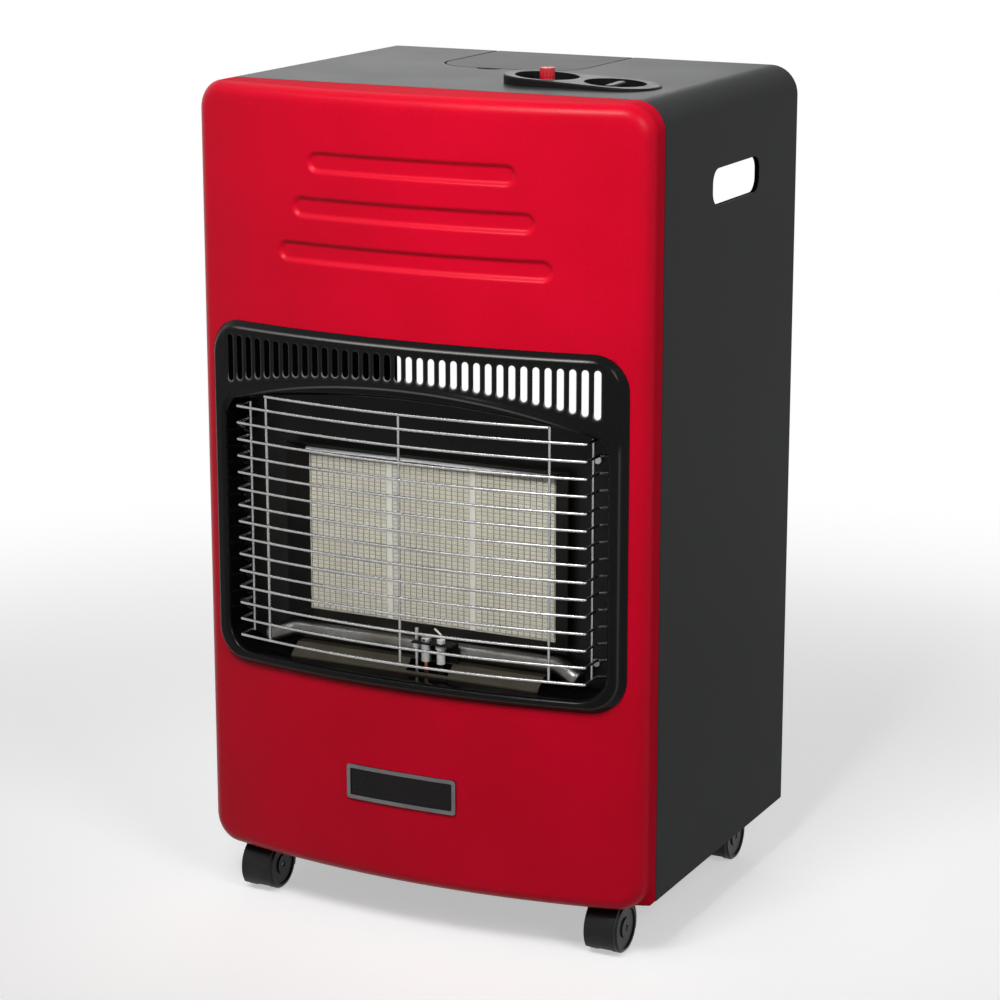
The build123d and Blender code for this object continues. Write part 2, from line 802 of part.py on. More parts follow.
# Heat shield standing on the tray
shield_y = box_back_y + shield_gap
shield_half = half_width - shield_side_gap
shield_top_z = tray_top_z + shield_height
with BuildPart() as heat_shield:
    with BuildSketch(Plane.YZ.offset(-shield_half)):
        with BuildLine():
            Polyline((shield_y, tray_top_z), (shield_y + shield_flange, tray_top_z),
                     (shield_y + shield_flange, tray_top_z + sheet), (shield_y + sheet, tray_top_z + sheet),
                     (shield_y + sheet, shield_top_z), (shield_y, shield_top_z), close=True)
        make_face()
    extrude(amount=2 * shield_half)
    with BuildSketch(Plane.XY.offset(tray_top_z)):
        for side in (-1, 1):
            with Locations((side * (shield_half - sheet / 2), shield_y)):
                Rectangle(sheet, shield_flange, align=(Align.CENTER, Align.MIN))
    extrude(amount=shield_height)
write(heat_shield, "heat_shield")

# Two folded brackets carry the manifold on the shield
manifold_bottom_z = manifold_top_z - manifold_size
with BuildPart() as manifold_brackets:
    for side in (-1, 1):
        with BuildSketch(Plane.YZ.offset(side * bracket_place - bracket_width / 2)):
            with BuildLine():
                nose_y = venturi_y - manifold_size / 2
                Polyline((nose_y, manifold_bottom_z), (nose_y, manifold_bottom_z - sheet),
                         (shield_y, manifold_bottom_z - sheet),
                         (shield_y, manifold_bottom_z + bracket_upstand),
                         (shield_y - sheet, manifold_bottom_z + bracket_upstand),
                         (shield_y - sheet, manifold_bottom_z), close=True)
            make_face()
        extrude(amount=bracket_width)
write(manifold_brackets, "manifold_brackets")

# Valve block under the knob well
valve_top_z = knob_floor_z - well_wall
valve_bottom_z = valve_top_z - valve_height
port_z = valve_bottom_z - valve_port_boss
nozzle_z = valve_bottom_z + nozzle_drop
nozzle_y = control_y + valve_width / 2
riser_y = plaque_y + riser_setback
with BuildPart() as gas_valve:
    with Locations((knob_x, control_y, (valve_top_z + valve_bottom_z) / 2)):
        Box(valve_length, valve_width, valve_height)
    fillet(gas_valve.edges().filter_by(Axis.Z), valve_round)
    with BuildSketch(Plane.XY.offset(valve_top_z)):
        with Locations((knob_x, control_y)):
            Circle(valve_neck)
    extrude(amount=well_wall)
    with BuildSketch(Plane.XY.offset(valve_bottom_z)):
        with Locations((knob_x + supply_port_x, control_y), (knob_x + pilot_port_x, control_y - lead_port_y),
                       (knob_x + pilot_port_x, control_y + lead_port_y)):
            Circle(valve_port_radius)
    extrude(amount=-valve_port_boss)
    with BuildSketch(Plane.XY.offset(knob_floor_z - stem_into_valve)):
        with Locations((knob_x, control_y)):
            Circle(stem_radius + running_gap)
    extrude(amount=stem_into_valve, mode=Mode.SUBTRACT)
write(gas_valve, "gas_valve")

# Valve stem: round in the valve, with a flat that turns the knob
stem_foot_z = knob_floor_z - stem_into_valve + seat_gap
knob_bottom_z = knob_floor_z + knob_lift
with BuildPart() as valve_stem:
    with BuildSketch(Plane.XY.offset(stem_foot_z)):
        with Locations((knob_x, control_y)):
            Circle(stem_radius)
    extrude(amount=knob_bottom_z + stem_into_knob - stem_foot_z)
    with Locations((knob_x, control_y + stem_flat, knob_floor_z)):
        Box(2 * stem_radius, 2 * stem_radius, 2 * (knob_lift + stem_into_knob),
            align=(Align.CENTER, Align.MIN, Align.MIN), mode=Mode.SUBTRACT)
write(valve_stem, "valve_stem")

# Control knob: a disc with a straight grip across it
knob_top_z = knob_bottom_z + knob_disc
with BuildPart() as control_knob:
    with BuildSketch(Plane.XY.offset(knob_bottom_z)):
        with Locations((knob_x, control_y)):
            Circle(knob_radius)
    extrude(amount=knob_disc)
    fillet(control_knob.edges().group_by(Axis.Z)[-1], knob_round)
    with BuildSketch(Plane.XY.offset(knob_top_z - knob_round)):
        with Locations(Location((knob_x, control_y), grip_angle)):
            SlotOverall(grip_length, grip_width)
    extrude(amount=grip_height + knob_round)
    fillet(control_knob.edges().group_by(Axis.Z)[-1], grip_round)
    with BuildSketch(Plane.XY.offset(knob_bottom_z)):
        with Locations((knob_x, control_y)):
            Circle(stem_radius + running_gap)
            with Locations((0, stem_flat + running_gap)):
                Rectangle(4 * stem_radius, 2 * stem_radius, align=(Align.CENTER, Align.MIN),
                          mode=Mode.SUBTRACT)
    extrude(amount=stem_into_knob + stem_clear, mode=Mode.SUBTRACT)
write(control_knob, "control_knob")

# Hose nozzle with a plain tail and a tapered end, pointing to the back
with BuildPart() as hose_nozzle:
    with BuildSketch(Plane((knob_x, nozzle_y, nozzle_z), x_dir=(1, 0, 0), z_dir=(0, 1, 0))):
        RegularPolygon(nozzle_nut_radius, 6)
    extrude(amount=nozzle_nut)
    with BuildSketch(Plane((knob_x, nozzle_y, nozzle_z), x_dir=(1, 0, 0), z_dir=(0, 0, 1))):
        with BuildLine():
            tail_y = nozzle_nut + nozzle_tail
            Polyline((0, nozzle_nut), (nozzle_radius, nozzle_nut), (nozzle_radius, tail_y),
                     (nozzle_bore + sheet, tail_y + nozzle_tip),
                     (0, tail_y + nozzle_tip), close=True)
        make_face()
    revolve(axis=Axis((knob_x, nozzle_y, nozzle_z), (0, 1, 0)))
    with BuildSketch(Plane((knob_x, nozzle_y, nozzle_z), x_dir=(1, 0, 0), z_dir=(0, 1, 0))):
        Circle(nozzle_bore)
    extrude(amount=nozzle_nut + nozzle_tail + nozzle_tip, mode=Mode.SUBTRACT)
write(hose_nozzle, "hose_nozzle")

# Control panel moulding
slope = degrees(atan2(boss_left_height - boss_right_height, boss_length))
boss_middle_z = top_z + (boss_left_height + boss_right_height) / 2
boss_top = Plane((boss_centre_x, control_y, boss_middle_z)).rotated((0, slope, 0))
with BuildPart() as control_panel:
    with BuildSketch(Plane.XY.offset(top_z - boss_skirt)):
        with Locations((boss_centre_x, control_y)):
            SlotOverall(boss_length, boss_width)
    extrude(amount=boss_skirt + boss_left_height + overrun)
    split(bisect_by=boss_top, keep=Keep.BOTTOM)
    crest = control_panel.faces().sort_by(Axis.Z)[-1]
    fillet(crest.edges(), min(boss_round, boss_right_height))
    with BuildSketch(Plane.XY.offset(top_z - sheet)):
        with Locations((boss_centre_x, control_y)):
            SlotOverall(boss_length + 2 * boss_flange, boss_width + 2 * boss_flange)
    extrude(amount=-boss_flange_thick)
    wells = ((knob_x, knob_well_radius, knob_floor_z), (igniter_x, igniter_well_radius, igniter_floor_z))
    for well_x, well_radius, floor_z in wells:
        with BuildSketch(Plane.XY.offset(floor_z - well_wall)):
            with Locations((well_x, control_y)):
                Circle(well_radius + well_wall)
        extrude(amount=top_z - sheet - floor_z + well_wall)
    for well_x, well_radius, floor_z in wells:
        with BuildSketch(Plane.XY.offset(floor_z)):
            with Locations((well_x, control_y)):
                Circle(well_radius)
        extrude(amount=top_z + boss_left_height + overrun - floor_z, mode=Mode.SUBTRACT)
    with BuildSketch(Plane.XY.offset(knob_floor_z)):
        with Locations((knob_x, control_y)):
            Circle(valve_neck + seat_gap)
    extrude(amount=-2 * well_wall, mode=Mode.SUBTRACT)
    with BuildSketch(Plane.XY.offset(igniter_floor_z)):
        with Locations((igniter_x, control_y)):
            Circle(button_radius + igniter_wall)
    extrude(amount=-2 * well_wall, mode=Mode.SUBTRACT)
write(control_panel, "control_panel")

# Igniter body: a tube through the well floor, with a collar on it
button_bottom_z = top_z + button_proud - button_depth
igniter_inner_z = button_bottom_z - button_travel - igniter_spare
igniter_bottom_z = igniter_floor_z - igniter_length
with BuildPart() as igniter_body:
    with BuildSketch(Plane.XY.offset(igniter_bottom_z)):
        with Locations((igniter_x, control_y)):
            Circle(button_radius + igniter_wall)
    extrude(amount=igniter_length)
    with BuildSketch(Plane.XY.offset(igniter_floor_z)):
        with Locations((igniter_x, control_y)):
            Circle(igniter_collar)
    extrude(amount=igniter_collar_height)
    with BuildSketch(Plane.XY.offset(igniter_inner_z)):
        with Locations((igniter_x, control_y)):
            Circle(button_radius + running_gap)
    extrude(amount=igniter_floor_z + igniter_collar_height - igniter_inner_z, mode=Mode.SUBTRACT)
write(igniter_body, "igniter_body")

# Igniter button with a fluted head
with BuildPart() as igniter_button:
    with BuildSketch(Plane.XY.offset(button_bottom_z)):
        with Locations((igniter_x, control_y)):
            Circle(button_radius)
    extrude(amount=button_depth)
    fillet(igniter_button.edges().group_by(Axis.Z)[-1], button_round)
    with BuildSketch(Plane.XY.offset(top_z + button_proud - button_flute_length)):
        with Locations((igniter_x, control_y)):
            with PolarLocations(button_radius, button_flutes):
                Circle(button_flute_radius)
    extrude(amount=button_flute_length + overrun, mode=Mode.SUBTRACT)
write(igniter_button, "igniter_button")

# Pilot group: a strip on a leg, and what hangs through the strip
leg_y = plate_y - pilot_forward
strip_z = floor_high_z + pilot_strip_height
strip_y = leg_y - pilot_strip_width / 2
with BuildPart() as pilot_bracket:
    with BuildSketch(Plane.YZ.offset(pilot_place - pilot_strip_length / 2)):
        with BuildLine():
            Polyline((leg_y, floor_high_z), (leg_y, strip_z + sheet),
                     (leg_y - pilot_strip_width, strip_z + sheet), (leg_y - pilot_strip_width, strip_z),
                     (leg_y - sheet, strip_z), (leg_y - sheet, floor_high_z), close=True)
        make_face()
    extrude(amount=pilot_strip_length)
    holes = ((pilot_burner_offset, pilot_burner_radius), (electrode_offset, electrode_radius),
             (thermocouple_offset, thermocouple_radius))
    with BuildSketch(Plane.XY.offset(strip_z)):
        for offset_x, radius in holes:
            with Locations((pilot_place + offset_x, strip_y)):
                Circle(radius)
    extrude(amount=2 * sheet, mode=Mode.SUBTRACT)
write(pilot_bracket, "pilot_bracket")

pilot_x = pilot_place + pilot_burner_offset
with BuildPart() as pilot_burner:
    with BuildSketch(Plane.XY.offset(strip_z - pilot_burner_below)):
        with Locations((pilot_x, strip_y)):
            Circle(pilot_burner_radius)
    extrude(amount=pilot_burner_below + pilot_burner_above)
    fillet(pilot_burner.edges().group_by(Axis.Z)[-1], pilot_port_radius)
    with BuildSketch(Plane.XZ.offset(-strip_y)):
        with Locations((pilot_x, strip_z + sheet + pilot_port_rise)):
            Circle(pilot_port_radius)
    extrude(amount=pilot_burner_radius + overrun, both=True, mode=Mode.SUBTRACT)
write(pilot_burner, "pilot_burner")

electrode_x = pilot_place + electrode_offset
with BuildPart() as spark_electrode:
    with BuildSketch(Plane.XY.offset(strip_z - electrode_below)):
        with Locations((electrode_x, strip_y)):
            Circle(electrode_radius)
    extrude(amount=electrode_below + electrode_above)
    with BuildSketch(Plane.XY.offset(strip_z)):
        with Locations((electrode_x, strip_y)):
            Circle(electrode_collar)
    extrude(amount=-electrode_collar_height)
    tip_z = strip_z + electrode_above
    with BuildLine() as wire_path:
        FilletPolyline((electrode_x, strip_y, tip_z - electrode_above / 2),
                       (electrode_x, strip_y, tip_z + electrode_wire_rise / 2),
                       (electrode_x - electrode_wire_lean, strip_y, tip_z + electrode_wire_rise),
                       radius=2 * electrode_wire)
    with BuildSketch(Plane(wire_path.line @ 0, z_dir=wire_path.line % 0)):
        Circle(electrode_wire)
    sweep(path=wire_path.line)
write(spark_electrode, "spark_electrode")

thermocouple_x = pilot_place + thermocouple_offset
with BuildPart() as thermocouple:
    with BuildSketch(Plane.XY.offset(strip_z - thermocouple_below)):
        with Locations((thermocouple_x, strip_y)):
            Circle(thermocouple_radius)
    extrude(amount=thermocouple_below + thermocouple_above)
    fillet(thermocouple.edges().group_by(Axis.Z)[-1], thermocouple_radius / 2)
    with BuildSketch(Plane.XY.offset(strip_z)):
        with Locations((thermocouple_x, strip_y)):
            RegularPolygon(thermocouple_nut, 6)
    extrude(amount=-thermocouple_nut_height)
write(thermocouple, "thermocouple")


# Round tube or lead along straight runs with round corners
def lead(points, radius, bore, bend):
    with BuildPart() as piece:
        with BuildLine() as path:
            FilletPolyline(*points, radius=bend)
        with BuildSketch(Plane(path.line @ 0, z_dir=path.line % 0)):
            Circle(radius)
            if bore > 0:
                Circle(bore, mode=Mode.SUBTRACT)
        sweep(path=path.line)
    return piece


# From the valve or igniter down the right side of the cabinet to the pilot
def lead_route(start, cross_z, riser_x, run_z, end_x, end_z):
    return (start, (start[0], start[1], cross_z), (riser_x, riser_y, cross_z), (riser_x, riser_y, run_z),
            (end_x, strip_y, run_z), (end_x, strip_y, end_z))


supply_riser_x = half_width - supply_riser_inset
supply_start = (knob_x + supply_port_x, control_y, port_z)
manifold_z = manifold_top_z - manifold_size / 2
supply_route = (supply_start, (supply_start[0], control_y, top_z - supply_cross_drop),
                (supply_riser_x, venturi_y, top_z - supply_cross_drop),
                (supply_riser_x, venturi_y, manifold_z), (manifold_length / 2, venturi_y, manifold_z))
supply_pipe = lead(supply_route, pipe_radius, pipe_bore, pipe_bend)
write(supply_pipe, "supply_pipe")

pilot_start = (knob_x + pilot_port_x, control_y - lead_port_y, port_z)
pilot_route = lead_route(pilot_start, top_z - pilot_cross_drop, half_width - pilot_riser_inset,
                         base_z + pilot_run_rise, pilot_x, strip_z - pilot_burner_below)
pilot_tube = lead(pilot_route, pilot_tube_radius, pilot_tube_radius / 2, lead_bend)
write(pilot_tube, "pilot_tube")

thermocouple_start = (knob_x + pilot_port_x, control_y + lead_port_y, port_z)
thermocouple_route = lead_route(thermocouple_start, top_z - thermocouple_cross_drop,
                                half_width - thermocouple_riser_inset, base_z + thermocouple_run_rise,
                                thermocouple_x, strip_z - thermocouple_below)
thermocouple_lead = lead(thermocouple_route, thermocouple_lead_radius, 0, lead_bend)
write(thermocouple_lead, "thermocouple_lead")

ignition_start = (igniter_x, control_y, igniter_bottom_z)
ignition_route = lead_route(ignition_start, top_z - ignition_cross_drop,
                            half_width - ignition_riser_inset, base_z + ignition_run_rise, electrode_x,
                            strip_z - electrode_below)
ignition_lead = lead(ignition_route, ignition_lead_radius, 0, lead_bend)
write(ignition_lead, "ignition_lead")

# Wire guard: bowed wires with legs, welded to uprights behind them
guard_offset = guard_proud - wire_radius
guard_first_z = base_z + guard_rise
guard_top_z = guard_first_z + (guard_rows - 1) * guard_pitch
shoulder_z = arch_z + sqrt(arch_radius ** 2 - arch_half ** 2) - opening_corner


# Half the width of the opening at a height, inside its round corners
def opening_half_at(height):
    below = max(opening_bottom_z + opening_radius - height, 0)
    above = max(height - shoulder_z, 0)
    lower = opening_width / 2 - opening_radius + sqrt(opening_radius ** 2 - below ** 2)
    upper = opening_width / 2 - opening_corner + sqrt(opening_corner ** 2 - above ** 2)
    return min(lower, upper)


# Depth of the bowed front at a given place, moved forward by the offset
def bow_at(x, offset):
    return bow_y - sqrt((bow_radius + offset) ** 2 - x ** 2)


# One guard wire at a height; the legs turn back at both ends
def guard_wire(height, half_length, legs):
    tip_y = bow_at(half_length, guard_offset)
    with BuildPart() as wire:
        with BuildLine() as path:
            ThreePointArc((-half_length, tip_y, height), (0, bow_at(0, guard_offset), height),
                          (half_length, tip_y, height))
        with BuildSketch(Plane(path.line @ 0, z_dir=path.line % 0)):
            Circle(wire_radius)
        sweep(path=path.line)
        if legs:
            foot_half = min(opening_half_at(height - wire_radius), opening_half_at(height + wire_radius))
            foot_x = foot_half - wire_radius - seat_gap
            for side in (-1, 1):
                with BuildLine() as leg:
                    FilletPolyline((side * half_length, tip_y, height),
                                   (side * half_length, tip_y + guard_leg, height),
                                   (side * foot_x, tip_y + guard_leg + guard_foot_depth, height),
                                   radius=guard_foot_bend)
                with BuildSketch(Plane(leg.line @ 0, z_dir=leg.line % 0)):
                    Circle(wire_radius)
                sweep(path=leg.line)
                with Locations((side * half_length, tip_y, height)):
                    Sphere(guard_tip_bead)
    return wire.part


row_heights = [guard_first_z + row * guard_pitch for row in range(guard_rows)]
guard_wires = [guard_wire(height, guard_half_width, True) for height in row_heights]
short_wire = guard_wire(guard_top_z + guard_top_gap, guard_upright, False)
behind = 2 * wire_radius - weld_bite
with BuildPart() as wire_guard:
    for wire in guard_wires:
        add(wire)
    add(short_wire)
    for place in (-guard_upright, 0, guard_upright):
        with BuildSketch(Plane.XY.offset(guard_first_z - wire_radius / 2)):
            with Locations((place, bow_at(place, guard_offset) + behind)):
                Circle(wire_radius)
        extrude(amount=guard_top_z + guard_top_gap - guard_first_z + wire_radius)
    for side in (-1, 1):
        with BuildSketch(Plane.XY.offset(guard_first_z - wire_radius / 2)):
            side_y = bow_at(guard_half_width, guard_offset) + guard_side_back
            with Locations((side * (guard_half_width - behind), side_y)):
                Circle(wire_radius)
        extrude(amount=guard_top_z - guard_first_z + wire_radius)
write(wire_guard, "wire_guard")

# Screws that hold the guard's feet to the sleeve, and two at the right of the plate behind it
screw_y = bow_at(guard_half_width, guard_offset) + guard_leg + guard_foot_depth
with BuildPart() as guard_screws:
    for side in (-1, 1):
        for row in guard_screw_rows:
            screw_z = guard_first_z + row * guard_pitch + wire_radius + guard_screw_radius
            with BuildSketch(Plane((side * opening_width / 2, screw_y, screw_z), x_dir=(0, 1, 0),
                                   z_dir=(-side, 0, 0))):
                Circle(guard_screw_radius)
            extrude(amount=guard_screw_head)
    with BuildSketch(Plane.XZ.offset(-plate_y)):
        for row in plate_screw_rows:
            with Locations((opening_width / 2 - plate_screw_inset, guard_first_z + row * guard_pitch)):
                Circle(guard_screw_radius)
    extrude(amount=guard_screw_head)
write(guard_screws, "guard_screws")

# Frame under the hatch: a ledge for the flap, and ears for its hinge pins
hinge_y = back_y - hinge_inset
hinge_z = top_z - hinge_drop
under_z = top_z - sheet
ledge_z = top_z - flap_thick - seat_gap
flap_left = flap_centre_x - flap_width / 2
flap_right = flap_centre_x + flap_width / 2
frame_outside = flap_profile(flap_margin, hinge_y)
frame_inside = flap_profile(-flap_ledge, hinge_y + overrun)
frame_step = flap_profile(flap_gap, hinge_y + overrun)
with BuildPart() as flap_frame:
    with BuildSketch(Plane.XY.offset(under_z)):
        add(frame_outside)
        add(frame_inside, mode=Mode.SUBTRACT)
        with Locations((notch_x, flap_front_y - flap_gap)):
            Ellipse(notch_half_length, notch_half_width, mode=Mode.SUBTRACT)
    extrude(amount=-flap_frame_thick)
    with BuildSketch(Plane.XY.offset(under_z)):
        add(frame_step)
    extrude(amount=ledge_z - under_z, mode=Mode.SUBTRACT)
    for side, edge_x in ((1, flap_left), (-1, flap_right)):
        with BuildSketch(Plane.YZ.offset(edge_x + side * (flap_ledge - hinge_ear / 2))):
            with Locations((hinge_y, hinge_z)):
                Circle(hinge_ear_radius)
                Rectangle(hinge_ear_radius, under_z - flap_frame_thick + sheet - hinge_z,
                          align=(Align.MAX, Align.MIN))
                Circle(hinge_pin_radius, mode=Mode.SUBTRACT)
        extrude(amount=hinge_ear / 2, both=True)
write(flap_frame, "flap_frame")

# Hatch flap with two hinge barrels under its rear edge
barrel_start = flap_ledge + seat_gap
flap_sketch = flap_profile(0, back_y)
with BuildPart() as top_flap:
    with BuildSketch(Plane.XY.offset(top_z)):
        add(flap_sketch)
    extrude(amount=-flap_thick)
    fillet(top_flap.edges().group_by(Axis.Z)[-1], flap_round)
    for side, edge_x in ((1, flap_left), (-1, flap_right)):
        with BuildSketch(Plane.YZ.offset(edge_x + side * (barrel_start + hinge_barrel / 2))):
            with Locations((hinge_y, hinge_z)):
                Circle(hinge_barrel_radius)
                Rectangle(hinge_web, hinge_drop - flap_thick / 2, align=(Align.CENTER, Align.MIN))
                Circle(hinge_pin_radius + running_gap, mode=Mode.SUBTRACT)
        extrude(amount=hinge_barrel / 2, both=True)
write(top_flap, "top_flap")

with BuildPart() as flap_hinge_pins:
    for side, edge_x in ((1, flap_left), (-1, flap_right)):
        pin_length = hinge_ear + seat_gap + hinge_barrel
        with BuildSketch(Plane.YZ.offset(edge_x + side * (flap_ledge - hinge_ear + pin_length / 2))):
            with Locations((hinge_y, hinge_z)):
                Circle(hinge_pin_radius)
        extrude(amount=pin_length / 2, both=True)
write(flap_hinge_pins, "flap_hinge_pins")

# Rear guides: channels on the back flanges, closed at the bottom
guide_x = half_width - guide_outer_inset
guide_bottom_z = base_z + guide_rise
with BuildPart() as rear_guides:
    for side in (-1, 1):
        with BuildSketch(Plane.XY.offset(guide_bottom_z)):
            with BuildLine():
                Polyline((side * (guide_x - guide_base), back_y), (side * guide_x, back_y),
                         (side * guide_x, back_y + guide_depth),
                         (side * (guide_x - guide_lip), back_y + guide_depth),
                         (side * (guide_x - guide_lip), back_y + guide_depth - sheet),
                         (side * (guide_x - sheet), back_y + guide_depth - sheet),
                         (side * (guide_x - sheet), back_y + sheet),
                         (side * (guide_x - guide_base), back_y + sheet), close=True)
            make_face()
        extrude(amount=guide_length)
        with Locations((side * (guide_x - guide_lip / 2), back_y + guide_depth / 2, guide_bottom_z)):
            Box(guide_lip, guide_depth, sheet, align=(Align.CENTER, Align.CENTER, Align.MIN))
write(rear_guides, "rear_guides")

# Rear cover: a sheet with a pressed field, vents and a hand slot
cover_y = back_y + sheet + cover_edge_gap
cover_half = guide_x - sheet - cover_edge_gap
cover_bottom_z = guide_bottom_z + sheet + seat_gap
cover_top_z = cover_bottom_z + cover_height
field_width = 2 * (guide_x - guide_lip - cover_field_inset)
field_z = (cover_bottom_z + cover_top_z) / 2
field_height = cover_height - 2 * cover_field_inset
vent_pitch = (field_width - 2 * cover_vent_inset) / cover_vent_columns
with BuildPart() as rear_cover:
    with BuildSketch(Plane.XZ.offset(-cover_y)):
        rounded_frame(2 * cover_half, cover_bottom_z, cover_top_z, sheet)
    extrude(amount=-sheet)
    with BuildSketch(Plane.XZ.offset(-cover_y)):
        with Locations((0, field_z)):
            RectangleRounded(field_width, field_height, cover_field_radius)
    extrude(amount=-(sheet + cover_field_depth))
    with BuildSketch(Plane.XZ.offset(-cover_y)):
        with Locations((0, field_z)):
            RectangleRounded(field_width - 2 * sheet, field_height - 2 * sheet, cover_field_radius - sheet)
    extrude(amount=-cover_field_depth, mode=Mode.SUBTRACT)
    vents_z = field_z - cover_grip_below / 2
    with BuildSketch(Plane.XZ.offset(-cover_y)):
        with Locations((0, vents_z)):
            with GridLocations(vent_pitch, cover_vent_pitch_z, cover_vent_columns, cover_vent_rows):
                SlotOverall(vent_pitch - cover_vent_gap, cover_vent_width)
        with Locations((0, cover_top_z - cover_grip_below)):
            SlotOverall(cover_grip_length, cover_grip_height)
    extrude(amount=-(2 * sheet + cover_field_depth), mode=Mode.SUBTRACT)
write(rear_cover, "rear_cover")

# Castors: plate and swivel pin on the base, then hood, axle and two wheels on each
castors = {
    "front_left": (-castor_x, joint_y + castor_front_setback),
    "front_right": (castor_x, joint_y + castor_front_setback),
    "rear_left": (-castor_x, joint_y + castor_rear_setback),
    "rear_right": (castor_x, joint_y + castor_rear_setback),
}
plate_z = base_z - castor_plate_thick
hood_top_z = plate_z - castor_plate_gap
fender_inner = wheel_radius + hood_gap
fender_outer = fender_inner + hood_wall

with BuildPart() as castor_plates:
    for place in castors.values():
        with BuildSketch(Plane.XY.offset(plate_z)):
            with Locations(place):
                RectangleRounded(castor_plate, castor_plate, castor_plate_radius)
        extrude(amount=castor_plate_thick)
        with BuildSketch(Plane.XY.offset(swivel_pin_end)):
            with Locations(place):
                Circle(swivel_pin_radius)
        extrude(amount=plate_z - swivel_pin_end)
    for x, y in castors.values():
        with BuildSketch(Plane.XY.offset(plate_z)):
            with Locations((x, y)):
                with GridLocations(2 * castor_screw_place, 2 * castor_screw_place, 2, 2):
                    Circle(castor_screw_shank)
        extrude(amount=castor_plate_thick, mode=Mode.SUBTRACT)
write(castor_plates, "castor_plates")

with BuildPart() as castor_screws:
    for x, y in castors.values():
        with BuildSketch(Plane.XY.offset(plate_z)):
            with Locations((x, y)):
                with GridLocations(2 * castor_screw_place, 2 * castor_screw_place, 2, 2):
                    Circle(castor_screw_head)
        extrude(amount=-castor_screw_head_height)
        with BuildSketch(Plane.XY.offset(plate_z)):
            with Locations((x, y)):
                with GridLocations(2 * castor_screw_place, 2 * castor_screw_place, 2, 2):
                    Circle(castor_screw_shank)
        extrude(amount=castor_plate_thick)
write(castor_screws, "castor_screws")

for corner, (swivel_x, swivel_y) in castors.items():
    wheel_y = swivel_y - castor_trail
    side_plane = Plane((swivel_x, wheel_y, wheel_radius), x_dir=(0, 1, 0), z_dir=(1, 0, 0))
    with BuildPart() as castor_hood:
        with BuildSketch(side_plane):
            Circle(fender_inner + hood_wall / 2)
        extrude(amount=web_width / 2, both=True)
        with BuildSketch(side_plane):
            with BuildLine():
                start = radians(180 - hood_rear_angle)
                CenterArc((0, 0), fender_outer, 180 - hood_rear_angle, hood_rear_angle - hood_front_angle)
                CenterArc((0, 0), fender_inner, 180 - hood_rear_angle, hood_rear_angle - hood_front_angle)
                Line((fender_inner * cos(start), fender_inner * sin(start)),
                     (fender_outer * cos(start), fender_outer * sin(start)))
                finish = radians(180 - hood_front_angle)
                Line((fender_inner * cos(finish), fender_inner * sin(finish)),
                     (fender_outer * cos(finish), fender_outer * sin(finish)))
            make_face()
        extrude(amount=hood_width / 2, both=True)
        with BuildSketch(Plane.XY.offset(wheel_radius)):
            with Locations((swivel_x, swivel_y)):
                Circle(swivel_collar)
        extrude(amount=hood_top_z - wheel_radius)
        with BuildSketch(Plane.XY.offset(swivel_pin_end - seat_gap)):
            with Locations((swivel_x, swivel_y)):
                Circle(swivel_pin_radius + running_gap)
        extrude(amount=hood_top_z, mode=Mode.SUBTRACT)
        with BuildSketch(side_plane):
            Circle(axle_radius)
        extrude(amount=hood_width / 2, both=True, mode=Mode.SUBTRACT)
        with Locations((swivel_x, wheel_y, hood_floor_gap)):
            Box(hood_width + overrun, 4 * wheel_radius, 2 * wheel_radius,
                align=(Align.CENTER, Align.CENTER, Align.MAX), mode=Mode.SUBTRACT)
    write(castor_hood, "castor_hood_" + corner)
    wheel_start = web_width / 2 + wheel_gap
    axle_half = wheel_start + wheel_width - wheel_hub_recess
    with BuildPart() as castor_axle:
        with BuildSketch(side_plane):
            Circle(axle_radius)
        extrude(amount=axle_half, both=True)
    write(castor_axle, "castor_axle_" + corner)
    for hand, side in (("left", -1), ("right", 1)):
        with BuildPart() as castor_wheel:
            with BuildSketch(side_plane.offset(side * wheel_start)):
                Circle(wheel_radius)
            extrude(amount=side * wheel_width)
            chamfer(castor_wheel.edges().filter_by(GeomType.CIRCLE), wheel_chamfer)
            with BuildSketch(side_plane.offset(side * (wheel_start + wheel_width))):
                Circle(wheel_radius - 2 * wheel_chamfer)
                Circle(wheel_hub_radius, mode=Mode.SUBTRACT)
            extrude(amount=-side * wheel_hub_recess, mode=Mode.SUBTRACT)
            with BuildSketch(side_plane.offset(side * wheel_start)):
                Circle(axle_radius + running_gap)
            extrude(amount=side * wheel_width, mode=Mode.SUBTRACT)
        write(castor_wheel, "castor_wheel_" + corner + "_" + hand)
